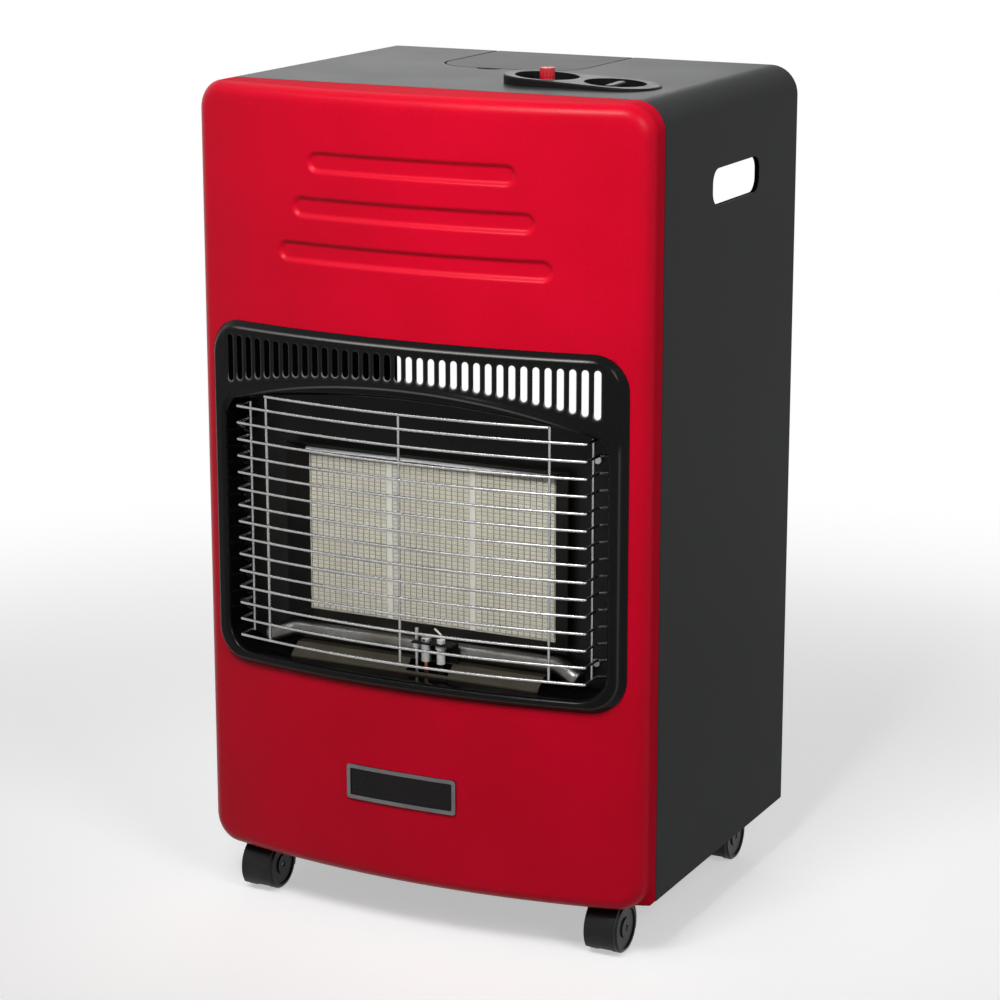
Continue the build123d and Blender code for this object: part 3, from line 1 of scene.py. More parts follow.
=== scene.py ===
import bmesh
import bpy
import math
import numpy as np
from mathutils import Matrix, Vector


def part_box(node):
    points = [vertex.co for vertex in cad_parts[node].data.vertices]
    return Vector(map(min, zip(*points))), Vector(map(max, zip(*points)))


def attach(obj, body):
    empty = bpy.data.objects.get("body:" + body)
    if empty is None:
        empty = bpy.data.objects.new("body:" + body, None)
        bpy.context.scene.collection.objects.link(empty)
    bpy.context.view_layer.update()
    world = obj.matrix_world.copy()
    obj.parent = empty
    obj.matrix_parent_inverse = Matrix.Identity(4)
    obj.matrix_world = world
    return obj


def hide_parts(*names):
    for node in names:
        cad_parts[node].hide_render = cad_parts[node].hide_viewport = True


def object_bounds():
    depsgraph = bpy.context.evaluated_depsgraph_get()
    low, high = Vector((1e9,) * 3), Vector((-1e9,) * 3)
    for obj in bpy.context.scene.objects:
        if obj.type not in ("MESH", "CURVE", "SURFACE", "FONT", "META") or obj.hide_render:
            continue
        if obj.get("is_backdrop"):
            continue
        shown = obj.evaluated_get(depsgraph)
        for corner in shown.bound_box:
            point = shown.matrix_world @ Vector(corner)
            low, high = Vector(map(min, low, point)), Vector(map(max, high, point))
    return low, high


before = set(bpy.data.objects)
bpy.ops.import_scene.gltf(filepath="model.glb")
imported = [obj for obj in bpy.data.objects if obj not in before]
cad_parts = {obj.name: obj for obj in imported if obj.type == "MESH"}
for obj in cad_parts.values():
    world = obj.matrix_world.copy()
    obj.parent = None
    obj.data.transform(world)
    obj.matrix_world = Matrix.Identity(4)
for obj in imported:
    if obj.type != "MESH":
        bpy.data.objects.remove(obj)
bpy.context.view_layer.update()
print("frame loaded:", len(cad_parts), "nodes")

# places that several pieces share, in metres
wrapLow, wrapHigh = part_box("cabinet_wrap")
panelLow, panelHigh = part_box("front_panel")
bezelLow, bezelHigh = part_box("front_bezel")
plateLow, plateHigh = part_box("reflector_plate")
sheet = plateHigh.y - plateLow.y  # every folded panel has this thickness
halfWidth = wrapHigh.x
jointY = wrapLow.y
crownY = panelLow.y
bowDepth = 0.0285
foldRadius = 0.025  # outer corners of the wrap and of the front panel
bowRadius = (halfWidth ** 2 + bowDepth ** 2) / (2 * bowDepth)


# depth of the bowed front at x: a circle about an upright axis, grown by proud
def bowY(x, proud=0.0):
    return crownY + bowRadius - np.sqrt((bowRadius + proud) ** 2 - np.square(x))


# straight ramp from 0 to 1 between two limits, eased at both ends
def ease(value, low, high):
    t = np.clip((value - low) / (high - low), 0, 1)
    return t * t * (3 - 2 * t)


# quads of a grid of points; a closed direction joins its end to its start
def patch(points, closeRows=False, closeCols=False, flip=False):
    rows, cols = points.shape[:2]
    r = np.arange(rows if closeRows else rows - 1)
    c = np.arange(cols if closeCols else cols - 1)
    a, b = np.meshgrid(r, c, indexing="ij")
    nextA = (a + 1) % rows
    nextB = (b + 1) % cols
    quads = [a * cols + b, a * cols + nextB, nextA * cols + nextB, nextA * cols + b]
    quads = np.stack(quads, axis=-1).reshape(-1, 4)
    return points.reshape(-1, 3), quads[:, ::-1] if flip else quads


# x, y and z arrays of one shape as a grid of points
def points3(x, y, z):
    return np.stack(np.broadcast_arrays(x, y, z), axis=-1).astype(float)


# profile of (radius, height) pairs carried round an upright axis; the radius grows by ripple(angle, height)
def turned(profile, centre, steps, ripple):
    angle = np.linspace(0, 2 * np.pi, steps, endpoint=False)
    radius, height = (np.array(part)[:, None] * np.ones(steps) for part in zip(*profile))
    radius = radius * (1 + ripple(angle[None, :], height))
    ring = points3(radius * np.cos(angle), radius * np.sin(angle), height)
    return patch(np.array(centre) + ring, closeCols=True)


# circle of the given radius carried along a path, with both ends closed
def tube(path, radius, up=(0, 0, 1), sides=12):
    path = np.array(path, float)
    tangent = np.gradient(path, axis=0)
    tangent /= np.linalg.norm(tangent, axis=1)[:, None]
    side = np.cross(np.array(up, float), tangent)
    side /= np.linalg.norm(side, axis=1)[:, None]
    over = np.cross(tangent, side)
    angle = np.linspace(0, 2 * np.pi, sides, endpoint=False)
    size = np.broadcast_to(radius, len(path))[:, None, None]
    ring = np.cos(angle)[None, :, None] * side[:, None] + np.sin(angle)[None, :, None] * over[:, None]
    body = path[:, None] + size * ring
    first = np.repeat(path[:1], sides, axis=0)[None]
    last = np.repeat(path[-1:], sides, axis=0)[None]
    return patch(np.concatenate([first, body, last]), closeCols=True)


# corner points joined by straight runs, each corner an arc of the bend radius
def rounded(corners, bend, steps=6):
    corners = np.array(corners, float)
    path = [corners[:1]]
    for before, corner, after in zip(corners[:-2], corners[1:-1], corners[2:]):
        goIn = (before - corner) / np.linalg.norm(before - corner)
        goOut = (after - corner) / np.linalg.norm(after - corner)
        half = math.acos(np.clip(goIn @ goOut, -1, 1)) / 2
        middle = (goIn + goOut) / np.linalg.norm(goIn + goOut)
        hub = corner + middle * bend / math.sin(half)
        start = corner + goIn * bend / math.tan(half) - hub
        turn = np.linspace(0, math.pi - 2 * half, steps)[:, None]
        path.append(hub + np.cos(turn) * start - np.sin(turn) * goIn * bend)
    path.append(corners[-1:])
    return np.concatenate(path)


# one object from patches, welded where they meet, riding on a body
def makePiece(name, patches, body, finish, hides=(), sharp=35, thick=0.0):
    counts = np.cumsum([0] + [len(p) for p, _ in patches])
    verts = np.concatenate([p for p, _ in patches])
    faces = np.concatenate([f + start for (_, f), start in zip(patches, counts)])
    mesh = bpy.data.meshes.new(name)
    mesh.from_pydata(verts, [], faces.tolist())
    work = bmesh.new()
    work.from_mesh(mesh)
    bmesh.ops.remove_doubles(work, verts=work.verts, dist=2e-6)
    work.to_mesh(mesh)
    work.free()
    mesh.shade_smooth()
    mesh.set_sharp_from_angle(angle=math.radians(sharp))
    mesh.materials.append(finish)
    piece = bpy.data.objects.new(name, mesh)
    bpy.context.scene.collection.objects.link(piece)
    if thick:
        wall = piece.modifiers.new("wall", "SOLIDIFY")
        wall.thickness = thick
        wall.offset = -1
    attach(piece, body)
    if hides:
        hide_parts(*hides)
    return piece


# places of a piece's vertices, after welding
def vertexPlaces(piece):
    at = np.empty(len(piece.data.vertices) * 3, np.float32)
    piece.data.vertices.foreach_get("co", at)
    return at.reshape(-1, 3).astype(float)


# one value per vertex, for a finish to read
def addLayer(piece, label, values):
    layer = piece.data.attributes.new(label, "FLOAT", "POINT")
    layer.data.foreach_set("value", values.astype(np.float32))


# an input takes a link or a plain value
def feed(tree, target, value):
    if isinstance(value, Sock):
        tree.links.new(value.socket, target)
    else:
        target.default_value = value


# one output of a material's nodes; arithmetic on it adds Math nodes
class Sock:
    def __init__(self, tree, socket):
        self.tree = tree
        self.socket = socket

    # any node: its type, settings, inputs by name or number, and which output to hand on
    def node(self, kind, settings=None, inputs=None, output=0):
        made = self.tree.nodes.new(kind)
        for key, value in (settings or {}).items():
            setattr(made, key, value)
        for key, value in (inputs or {}).items():
            feed(self.tree, made.inputs[key], value)
        return Sock(self.tree, made.outputs[output])

    def math(self, operation, first, second=0.0):
        return self.node("ShaderNodeMath", {"operation": operation}, {0: first, 1: second})

    def __add__(self, other):
        return self.math("ADD", self, other)

    def __radd__(self, other):
        return self.math("ADD", other, self)

    def __sub__(self, other):
        return self.math("SUBTRACT", self, other)

    def __rsub__(self, other):
        return self.math("SUBTRACT", other, self)

    def __mul__(self, other):
        return self.math("MULTIPLY", self, other)

    def __rmul__(self, other):
        return self.math("MULTIPLY", other, self)

    def __truediv__(self, other):
        return self.math("DIVIDE", self, other)

    # never below, and never above, a limit
    def floor(self, limit):
        return self.math("MAXIMUM", self, limit)

    def ceiling(self, limit):
        return self.math("MINIMUM", self, limit)

    # one coordinate of this place: X, Y or Z
    def along(self, axis):
        return self.node("ShaderNodeSeparateXYZ", {}, {0: self}, axis)

    # a value that the mesh carries at each vertex
    def layer(self, label):
        return self.node("ShaderNodeAttribute", {"attribute_name": label}, {}, 2)

    # 0 to 1 between two limits, eased
    def step(self, low, high):
        limits = {"Value": self, "From Min": low, "From Max": high}
        return self.node("ShaderNodeMapRange", {"interpolation_type": "SMOOTHSTEP"}, limits)

    # colour between two colours, with this value as the share of the second
    def tint(self, first, second):
        return self.node("ShaderNodeMix", {"data_type": "RGBA"}, {0: self, 6: first, 7: second}, 2)

    # cloudy noise at this place; size is the width of a cloud in metres
    def noise(self, size, detail, stretch=(1, 1, 1)):
        scaled = self.node("ShaderNodeVectorMath", {"operation": "MULTIPLY"}, {0: self, 1: stretch})
        inputs = {"Vector": scaled, "Scale": 1 / size, "Detail": detail}
        return self.node("ShaderNodeTexNoise", {}, inputs)

    # surface normal from this height; depth is in metres
    def relief(self, depth, strength):
        inputs = {"Height": self, "Distance": depth, "Strength": strength}
        return self.node("ShaderNodeBump", {}, inputs)


# a new finish: its material, its shader and the place on the piece
def newFinish(name, **fixed):
    material = bpy.data.materials.new(name)
    material.use_nodes = True
    tree = material.node_tree
    shader = tree.nodes["Principled BSDF"]
    place = Sock(tree, tree.nodes.new("ShaderNodeTexCoord").outputs["Object"])
    for key, value in fixed.items():
        shader.inputs[key].default_value = value
    return material, shader, place


# links the varying inputs of a shader
def dress(shader, **varying):
    for key, value in varying.items():
        feed(shader.id_data, shader.inputs[key.replace("_", " ")], value)


# colour as linear red, green, blue
def rgb(red, green, blue):
    return (red, green, blue, 1.0)


# how strongly a finish mirrors, 0.5 being plain plastic
def mirrors(level):
    return {"Specular IOR Level": level}


# fine grain, slow clouds, and a tone between two colours that mixes both
def mottled(place, grain, low, high):
    speck = place.noise(grain, 2.0)
    cloud = place.noise(0.09, 3.0)
    return speck, cloud, (speck * 0.55 + cloud * 0.45).step(0.3, 0.7).tint(low, high)


# painted sheet: fine grain, a slow change of tone and a little dust in the roughness
def paintedSheet(name, low, high, grain, roughness, depth, **fixed):
    material, shader, place = newFinish(name, **fixed)
    speck, cloud, tone = mottled(place, grain, low, high)
    dress(shader, Base_Color=tone, Roughness=cloud * 0.1 + (roughness - 0.05),
          Normal=speck.relief(depth, 0.5))
    return material


# 1 on the outside of a folded shell and 0 within its sheet: reach from the fold's axis, across and above
def outsideOf(place, top):
    x = place.along("X")
    across = (x.math("ABSOLUTE", x) - (halfWidth - foldRadius)).floor(0.0)
    above = (place.along("Z") - (top - foldRadius)).floor(0.0)
    reach = across.math("SQRT", across * across + above * above)
    return reach.step(foldRadius - sheet * 0.7, foldRadius - sheet * 0.4)


# front paint: matt on the return, by the depth behind the bow (x squared over 2 radii), and near black
# within, a painted shade for the panel's inside
def frontPaint(name, low, high, insideShade, **fixed):
    material, shader, place = newFinish(name, **fixed)
    speck, cloud, tone = mottled(place, 0.0011, low, high)
    x, y, z = (place.along(axis) for axis in "XYZ")
    behind = y - crownY - x * x / (2 * bowRadius)
    matt = behind.step(0.006, 0.013)
    within = behind.step(0.013, 0.015) * (1 - outsideOf(place, panelHigh.z))
    within = within * z.step(panelLow.z + foldRadius, panelLow.z + 1.2 * foldRadius)
    dress(shader, Base_Color=within.tint(tone, insideShade), Roughness=cloud * 0.1 + matt * 0.55 + 0.29,
          Normal=speck.relief(0.00006, 0.5))
    return material


# drawn or brushed metal: streaks along one axis
def brushedMetal(name, low, high, roughness, stretch, streak=0.0012, depth=0.00003, **fixed):
    material, shader, place = newFinish(name, Metallic=1.0, **fixed)
    lines = place.noise(streak, 3.0, stretch)
    stain = place.noise(0.03, 3.0)
    dress(shader, Base_Color=(lines * 0.5 + stain * 0.5).step(0.3, 0.7).tint(low, high),
          Roughness=lines * 0.12 + stain * 0.1 + (roughness - 0.11), Normal=lines.relief(depth, 0.4))
    return material


# moulded plastic: pebbled grain and faint scuffs
def mouldedPlastic(name, low, high, roughness, grain=0.0007, **fixed):
    material, shader, place = newFinish(name, **fixed)
    pebble = place.noise(grain, 1.0)
    scuff = place.noise(0.02, 4.0).step(0.5, 0.75)
    dress(shader, Base_Color=scuff.tint(low, high), Normal=pebble.relief(0.00005, 0.5),
          Roughness=pebble * 0.12 + scuff * 0.1 + (roughness - 0.08))
    return material


# heated metal: straw and brown stains that follow the heat, over streaks
def heatedMetal(name, cool, warm, roughness, **fixed):
    material, shader, place = newFinish(name, **fixed)
    stain = place.noise(0.04, 4.0).step(0.35, 0.7)
    lines = place.noise(0.0015, 2.0, (0.1, 1, 1))
    dress(shader, Base_Color=stain.tint(cool, warm), Normal=lines.relief(0.00004, 0.5),
          Roughness=lines * 0.2 + stain * 0.1 + (roughness - 0.15))
    return material


# pressed ceramic: chalky blocks; the mesh's layers darken the grooves between them and the holes, a painted
# shade in these recesses
def pressedCeramic(name, low, high, grooveShade, holeShade):
    material, shader, place = newFinish(name, **mirrors(0.25))
    chalk = place.noise(0.0009, 3.0)
    cloud = place.noise(0.025, 2.0)
    base = (cloud * 0.6 + chalk * 0.4).step(0.25, 0.75).tint(low, high)
    grooved = place.layer("groove").tint(base, grooveShade)
    dress(shader, Base_Color=place.layer("pore").tint(grooved, holeShade), Roughness=chalk * 0.1 + 0.85,
          Normal=chalk.relief(0.00008, 0.6))
    return material


# wrap paint: the outside is painted, and the inside of the sheet is near black, a painted shade for the
# dark interior
def wrapPaint(name, low, high, insideShade, **fixed):
    material, shader, place = newFinish(name, **fixed)
    speck, cloud, tone = mottled(place, 0.0009, low, high)
    rear = place.along("Y").step(wrapHigh.y - sheet, wrapHigh.y - sheet / 2)
    outside = (outsideOf(place, wrapHigh.z) + rear).ceiling(1.0)
    dress(shader, Base_Color=outside.tint(insideShade, tone), Roughness=cloud * 0.1 + 0.9 - outside * 0.5,
          Normal=speck.relief(0.00008, 0.5))
    return material


# enamel: gloss black, with painted highlights: a lighter colour where the mesh's edge layer marks a ridge
# or a rim
def enamelWithPaintedHighlights(name, low, high, highlightTone, **fixed):
    material, shader, place = newFinish(name, **fixed)
    speck, cloud, tone = mottled(place, 0.002, low, high)
    dress(shader, Base_Color=place.layer("edge").tint(tone, highlightTone), Roughness=cloud * 0.1 + 0.12,
          Normal=speck.relief(0.00002, 0.5))
    return material


# glazed ceramic: white with a faint crackle tone
def glazedCeramic(name, low, high):
    material, shader, place = newFinish(name, **{"Coat Weight": 0.6, "Coat Roughness": 0.08})
    cloud = place.noise(0.006, 3.0)
    dress(shader, Base_Color=cloud.step(0.3, 0.7).tint(low, high), Roughness=cloud * 0.15 + 0.2)
    return material


# maker of each finish, what it takes, and the inputs that stay fixed
recipes = {
    # redPaint's last colour is the painted shade inside the panel
    "redPaint": (frontPaint, (rgb(0.50, 0.0, 0.013), rgb(0.60, 0.0005, 0.020), rgb(0.002, 0.001, 0.001)),
                 mirrors(0.12)),
    # darkPaint's last colour is the painted shade inside the wrap
    "darkPaint": (wrapPaint, (rgb(0.020, 0.021, 0.022), rgb(0.028, 0.029, 0.030), rgb(0.001, 0.001, 0.001)),
                  mirrors(0.03)),
    "flapPaint": (paintedSheet, (rgb(0.020, 0.021, 0.022), rgb(0.028, 0.029, 0.030), 0.0009, 0.47, 0.00008),
                  mirrors(0.03)),
    "blackSheet": (paintedSheet, (rgb(0.012, 0.012, 0.012), rgb(0.02, 0.02, 0.02), 0.0012, 0.5, 0.00006),
                   mirrors(0.25)),
    # blackEnamel's last colour is the painted highlight on the surround's ridges and rims
    "blackEnamel": (enamelWithPaintedHighlights, (rgb(0.002, 0.002, 0.002), rgb(0.004, 0.004, 0.004),
                                  rgb(0.26, 0.255, 0.24)), mirrors(0.09)),
    "firedEnamel": (paintedSheet, (rgb(0.006, 0.006, 0.006), rgb(0.012, 0.011, 0.010), 0.002, 0.36,
                                   0.00005), mirrors(0.14)),
    "badgeBlack": (paintedSheet, (rgb(0.005, 0.004, 0.004), rgb(0.009, 0.007, 0.007), 0.003, 0.25, 0.00001),
                   mirrors(0.15)),
    # near white: a painted highlight on the strip above the plaques
    "paintedHighlightStrip": (paintedSheet, (rgb(0.82, 0.82, 0.82), rgb(0.92, 0.92, 0.92), 0.0015, 0.4, 0.00002), {}),
    "badgeSilver": (brushedMetal, (rgb(0.14, 0.14, 0.14), rgb(0.19, 0.19, 0.19), 0.34, (0.05, 1, 1)), {}),
    "chromeWire": (brushedMetal, (rgb(0.34, 0.34, 0.34), rgb(0.43, 0.43, 0.43), 0.27, (1, 1, 1), 0.004,
                                  0.000004), {}),
    "bareSteel": (brushedMetal, (rgb(0.42, 0.42, 0.41), rgb(0.56, 0.56, 0.55), 0.36, (0.06, 1, 1)), {}),
    "castSteel": (brushedMetal, (rgb(0.4, 0.4, 0.4), rgb(0.5, 0.5, 0.5), 0.4, (1, 1, 1), 0.002), {}),
    "brass": (brushedMetal, (rgb(0.5, 0.33, 0.11), rgb(0.68, 0.48, 0.18), 0.32, (1, 1, 1), 0.003), {}),
    "copper": (brushedMetal, (rgb(0.30, 0.12, 0.055), rgb(0.45, 0.2, 0.1), 0.34, (1, 1, 1), 0.004), {}),
    # near black: a painted shade for the burner frame's unlit sides
    "burnerTrimPaintedShade": (heatedMetal, (rgb(0.005, 0.005, 0.005), rgb(0.010, 0.009, 0.008), 0.5), mirrors(0.06)),
    "barSteel": (heatedMetal, (rgb(0.17, 0.17, 0.165), rgb(0.10, 0.092, 0.08), 0.34), {"Metallic": 1.0}),
    "floorSteel": (heatedMetal, (rgb(0.065, 0.057, 0.04), rgb(0.045, 0.038, 0.028), 0.5),
                   {"Metallic": 0.7}),
    # the plaques' third and fourth colours are painted shade in the grooves and in the holes
    "plaqueCeramic": (pressedCeramic, (rgb(0.72, 0.69, 0.58), rgb(0.82, 0.79, 0.68), rgb(0.46, 0.42, 0.32),
                                       rgb(0.05, 0.042, 0.03)), {}),
    "cement": (pressedCeramic, (rgb(0.84, 0.82, 0.73), rgb(0.92, 0.90, 0.82), rgb(0.46, 0.42, 0.32),
                                rgb(0.05, 0.042, 0.03)), {}),
    "whiteCeramic": (glazedCeramic, (rgb(0.68, 0.68, 0.66), rgb(0.8, 0.8, 0.78)), {}),
    "blackPlastic": (mouldedPlastic, (rgb(0.007, 0.007, 0.007), rgb(0.011, 0.011, 0.011), 0.42),
                     mirrors(0.06)),
    "castorPlastic": (mouldedPlastic, (rgb(0.008, 0.008, 0.008), rgb(0.016, 0.016, 0.016), 0.34),
                      mirrors(0.22)),
    "redPlastic": (mouldedPlastic, (rgb(0.42, 0.004, 0.014), rgb(0.52, 0.012, 0.022), 0.3, 0.0012), {}),
}
finishes = {name: maker(name, *given, **fixed) for name, (maker, given, fixed) in recipes.items()}
print("finishes made:", len(finishes))

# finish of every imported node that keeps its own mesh, by the start of its name
nodeFinish = {
    "cabinet_wrap": "darkPaint", "base_tray": "blackSheet", "front_panel": "redPaint",
    "front_bezel": "blackEnamel", "rear_cover": "blackSheet", "rear_guides": "blackSheet",
    "badge_rim": "badgeSilver", "badge_plate": "badgeBlack", "reflector_plate": "firedEnamel",
    "floor_pan": "floorSteel", "deflector_bar": "barSteel", "burner_frame": "burnerTrimPaintedShade",
    "burner_box": "bareSteel", "plaque": "plaqueCeramic", "venturi_tubes": "bareSteel",
    "gas_manifold": "bareSteel", "injectors": "brass", "heat_shield": "bareSteel",
    "manifold_brackets": "bareSteel", "gas_valve": "brass", "valve_stem": "castSteel",
    "control_knob": "blackPlastic", "hose_nozzle": "brass", "control_panel": "blackPlastic",
    "igniter_body": "blackPlastic", "igniter_button": "redPlastic", "pilot_bracket": "burnerTrimPaintedShade",
    "pilot_burner": "castSteel", "spark_electrode": "whiteCeramic", "thermocouple": "castSteel",
    "supply_pipe": "copper", "pilot_tube": "copper", "ignition_lead": "blackPlastic",
    "wire_guard": "chromeWire", "guard_screws": "castSteel", "flap_frame": "blackPlastic",
    "top_flap": "flapPaint", "flap_hinge_pins": "castSteel", "castor_plates": "castSteel",
    "castor_screws": "castSteel", "castor_hood": "castorPlastic", "castor_axle": "castSteel",
    "castor_wheel": "castorPlastic",
}
for nodeName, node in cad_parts.items():
    start = max((key for key in nodeFinish if nodeName.startswith(key)), key=len)
    node.material_slots[0].material = finishes[nodeFinish[start]]
print("packed nodes dressed")

# bowed front panel with three pressed ribs
panelShape = {
    "corner": foldRadius, "edgeRound": 0.012, "seam": 0.0009, "lipEase": 0.0003, "lipStart": 0.0004,
    "lipStep": 0.0016, "lipDepth": 0.011, "lowerLip": 0.1, "bottomReturn": 0.010, "windowInset": 0.011,
    "cornerSteps": 14, "roundSteps": 9, "wallSteps": 9, "squareRound": 0.006,
    "ribLengths": (0.190, 0.222, 0.252), "ribHeight": 0.017, "ribDepth": 0.003, "ribDrop": 0.060,
    "ribPitch": 0.038, "ribOffset": 0.006, "ribOutside": 0.0012, "ribInside": 0.0034,
    "fine": 0.0012, "coarse": 0.006,
}


# depth of the ribs at (x, z): a stadium's signed distance eased into a flat floor
def ribDrop(x, z, s):
    total = np.zeros(np.broadcast(x, z).shape)
    for row, length in enumerate(s["ribLengths"]):
        level = panelHigh.z - s["ribDrop"] - row * s["ribPitch"]
        along = np.maximum(np.abs(x - s["ribOffset"]) - (length - s["ribHeight"]) / 2, 0)
        away = np.hypot(along, z - level) - s["ribHeight"] / 2
        total = total + s["ribDepth"] * ease(-away, -s["ribOutside"], s["ribInside"])
    return total


# inner grid y = bow + ribs, less its window, and a rim profile carried round the outline
def panelPatches(s):
    inX = halfWidth - s["corner"]
    lowZ = panelLow.z + s["corner"]
    highZ = panelHigh.z - s["corner"]
    windowX = bezelHigh.x - s["windowInset"]
    windowLow = bezelLow.z + s["windowInset"]
    windowHigh = bezelHigh.z - s["windowInset"]
    ribEnd = [length / 2 for length in s["ribLengths"]]
    ribStart = min(ribEnd) - s["ribHeight"] - s["ribOffset"]
    nearEnd = np.arange(ribStart, max(ribEnd) + s["ribOffset"] + 3 * s["fine"], s["fine"])
    middle = np.arange(-ribStart + s["coarse"] / 2, ribStart, s["coarse"])
    outside = np.arange(nearEnd[-1] + s["coarse"] / 2, windowX - s["coarse"] / 2, s["coarse"])
    right = np.concatenate([nearEnd, outside, [windowX, inX]])
    xs = np.concatenate([-right[::-1], middle, right])
    ribLow = panelHigh.z - s["ribDrop"] - (len(ribEnd) - 1) * s["ribPitch"] - s["ribHeight"]
    ribHigh = panelHigh.z - s["ribDrop"] + s["ribHeight"]
    zs = np.concatenate([np.linspace(lowZ, windowLow, 20), np.linspace(windowLow, windowHigh, 24)[1:],
                         np.linspace(windowHigh, ribLow, 8)[1:],
                         np.arange(ribLow + s["fine"], ribHigh, s["fine"]), np.linspace(ribHigh, highZ, 4)])
    x, z = np.meshgrid(xs, zs)
    verts, quads = patch(points3(x, bowY(x) + ribDrop(x, z, s), z))
    centre = verts[quads].mean(axis=1)
    inside = (np.abs(centre[:, 0]) < windowX) & (centre[:, 2] > windowLow) & (centre[:, 2] < windowHigh)
    face = (verts, quads[~inside])
    # stations clockwise from the top left: foot on the inner grid's border, and outward direction
    turn = np.linspace(np.pi / 2, 0, s["cornerSteps"])[1:-1]
    sides = ((xs, highZ, 90), (inX, zs[::-1], 0), (xs[::-1], lowZ, -90), (-inX, zs, 180))
    hubs = ((inX, highZ, 0), (inX, lowZ, -np.pi / 2), (-inX, lowZ, -np.pi), (-inX, highZ, np.pi / 2))
    footX, footZ, out = [], [], []
    for (sideX, sideZ, degrees), (hubX, hubZ, shift) in zip(sides, hubs):
        run = np.broadcast_arrays(sideX, sideZ)
        footX += [run[0], np.full(len(turn), hubX)]
        footZ += [run[1], np.full(len(turn), hubZ)]
        out += [np.full(len(run[0]), math.radians(degrees)), turn + shift]
    footX, footZ, out = (np.concatenate(part)[None] for part in (footX, footZ, out))
    arc = np.linspace(0, np.pi / 2, s["roundSteps"])
    flat = s["corner"] - s["edgeRound"]
    reach = np.concatenate([[0, flat / 2], flat + s["edgeRound"] * np.sin(arc)])[:, None]
    drop = np.concatenate([[0, 0], s["edgeRound"] * (1 - np.cos(arc))])[:, None]
    roundX = footX + reach * np.cos(out)
    roundZ = footZ + reach * np.sin(out)
    rounding = points3(roundX, bowY(roundX) + drop, roundZ)
    below = (np.sin(out) < -0.999) & (np.abs(footX) < inX)
    rimY = crownY + bowDepth
    backY = np.where(below, rimY + s["bottomReturn"], jointY - s["seam"])
    share = np.linspace(0, 1, s["wallSteps"])[1:, None]
    wallY = rounding[-1:, :, 1] * (1 - share) + backY * share
    # where the ray from a lower corner's hub leaves a square with small round corners
    a, b = np.abs(np.cos(out)), np.abs(np.sin(out))
    hub = (s["corner"] - s["squareRound"]) * (a + b)
    arcReach = hub + np.sqrt(np.maximum(hub ** 2 - 2 * (s["corner"] - s["squareRound"]) ** 2
                                        + s["squareRound"] ** 2, 0))
    flatReach = s["corner"] / np.maximum(a, b)
    square = np.where(flatReach * np.minimum(a, b) < s["corner"] - s["squareRound"], flatReach, arcReach)
    wallReach = s["corner"] + (square - s["corner"]) * ease(share, 0.1, 0.8) * (np.sin(out) < -1e-6)
    wall = points3(footX + wallReach * np.cos(out), wallY, footZ + wallReach * np.sin(out))
    lipReach = wallReach[-1:] - np.array([s["lipEase"], s["lipStep"], s["lipStep"]])[:, None]
    lipBack = np.array([s["lipStart"], s["lipStart"], s["lipDepth"]])[:, None]
    lipY = wall[-1:, :, 1] + lipBack * np.where(np.sin(out) < -0.2, s["lowerLip"], 1)
    lip = points3(footX + lipReach * np.cos(out), lipY, footZ + lipReach * np.sin(out))
    rim = patch(np.concatenate([rounding, wall, lip]), closeCols=True)
    return [face, rim]


makePiece("frontPanel", panelPatches(panelShape), "cabinet", finishes["redPaint"],
          ("front_panel",), sharp=55, thick=sheet)
print("front panel made")

# black surround: slotted band over an arched opening, with a sleeve behind it
bezelShape = {
    "corner": 0.030, "openingCorner": 0.024, "shoulder": 0.014, "archSag": 0.0175, "proud": 0.007,
    "edgeRise": 0.0012, "bevel": 0.0052, "ridge": 0.0003, "lipRound": 0.005, "seat": 0.0008,
    "slotCount": 35, "slotPitch": 0.0101, "slotHalf": 0.0028, "slotLift": 0.0165, "slotTopGap": 0.012,
    "bandMargin": 0.0028, "topMargin": 0.002,
    "hoodRise": 0.0030, "hoodPlace": 0.0095, "hoodFade": 0.0045, "hoodHalf": 0.165, "hoodStart": 0.012,
    "endSteps": 6, "sideSteps": 8,
    # painted highlight lines: half width, where the ridge's line brightens and ends, and the strength of
    # each
    "edgeLine": 0.0007, "ridgeRun": (-0.16, 0.02), "ridgeEnd": (0.158, 0.172), "ridgeLeft": 0.5,
    "sideLine": 0.15, "crestLine": 0.4, "archLine": 0.3, "rimLines": (0.7, 0.22, 0.04),
}
openHalf = plateHigh.x - sheet
openLow = plateLow.z + sheet
openHigh = plateHigh.z - sheet
shoulderX = openHalf - bezelShape["shoulder"]
archRadius = (shoulderX ** 2 + bezelShape["archSag"] ** 2) / (2 * bezelShape["archSag"])
archZ = openHigh - archRadius
shoulderZ = archZ + math.sqrt((archRadius - bezelShape["shoulder"]) ** 2 - shoulderX ** 2)
tangentX = shoulderX * archRadius / (archRadius - bezelShape["shoulder"])


# upper edge of the opening at x: the arch, then the shoulder's arc
def openingCrest(x):
    beside = np.clip(np.abs(x) - shoulderX, 0, bezelShape["shoulder"])
    arch = archZ + np.sqrt(archRadius ** 2 - np.square(x))
    shoulder = shoulderZ + np.sqrt(bezelShape["shoulder"] ** 2 - beside ** 2)
    return np.where(np.abs(x) < tangentX, arch, shoulder)


# upper edge of the surround at x: straight, then the corner's arc
def bezelCrest(x):
    beside = np.clip(np.abs(x) - (bezelHigh.x - bezelShape["corner"]), 0, bezelShape["corner"])
    return bezelHigh.z - bezelShape["corner"] + np.sqrt(bezelShape["corner"] ** 2 - beside ** 2)


# distance of (x, z) inside the surround's outline, a rectangle with round corners
def gapToEdge(x, z):
    r = bezelShape["corner"]
    a = np.abs(x) - (bezelHigh.x - r)
    b = np.abs(z - (bezelLow.z + bezelHigh.z) / 2) - ((bezelHigh.z - bezelLow.z) / 2 - r)
    return r - np.hypot(np.maximum(a, 0), np.maximum(b, 0)) - np.minimum(np.maximum(a, b), 0)


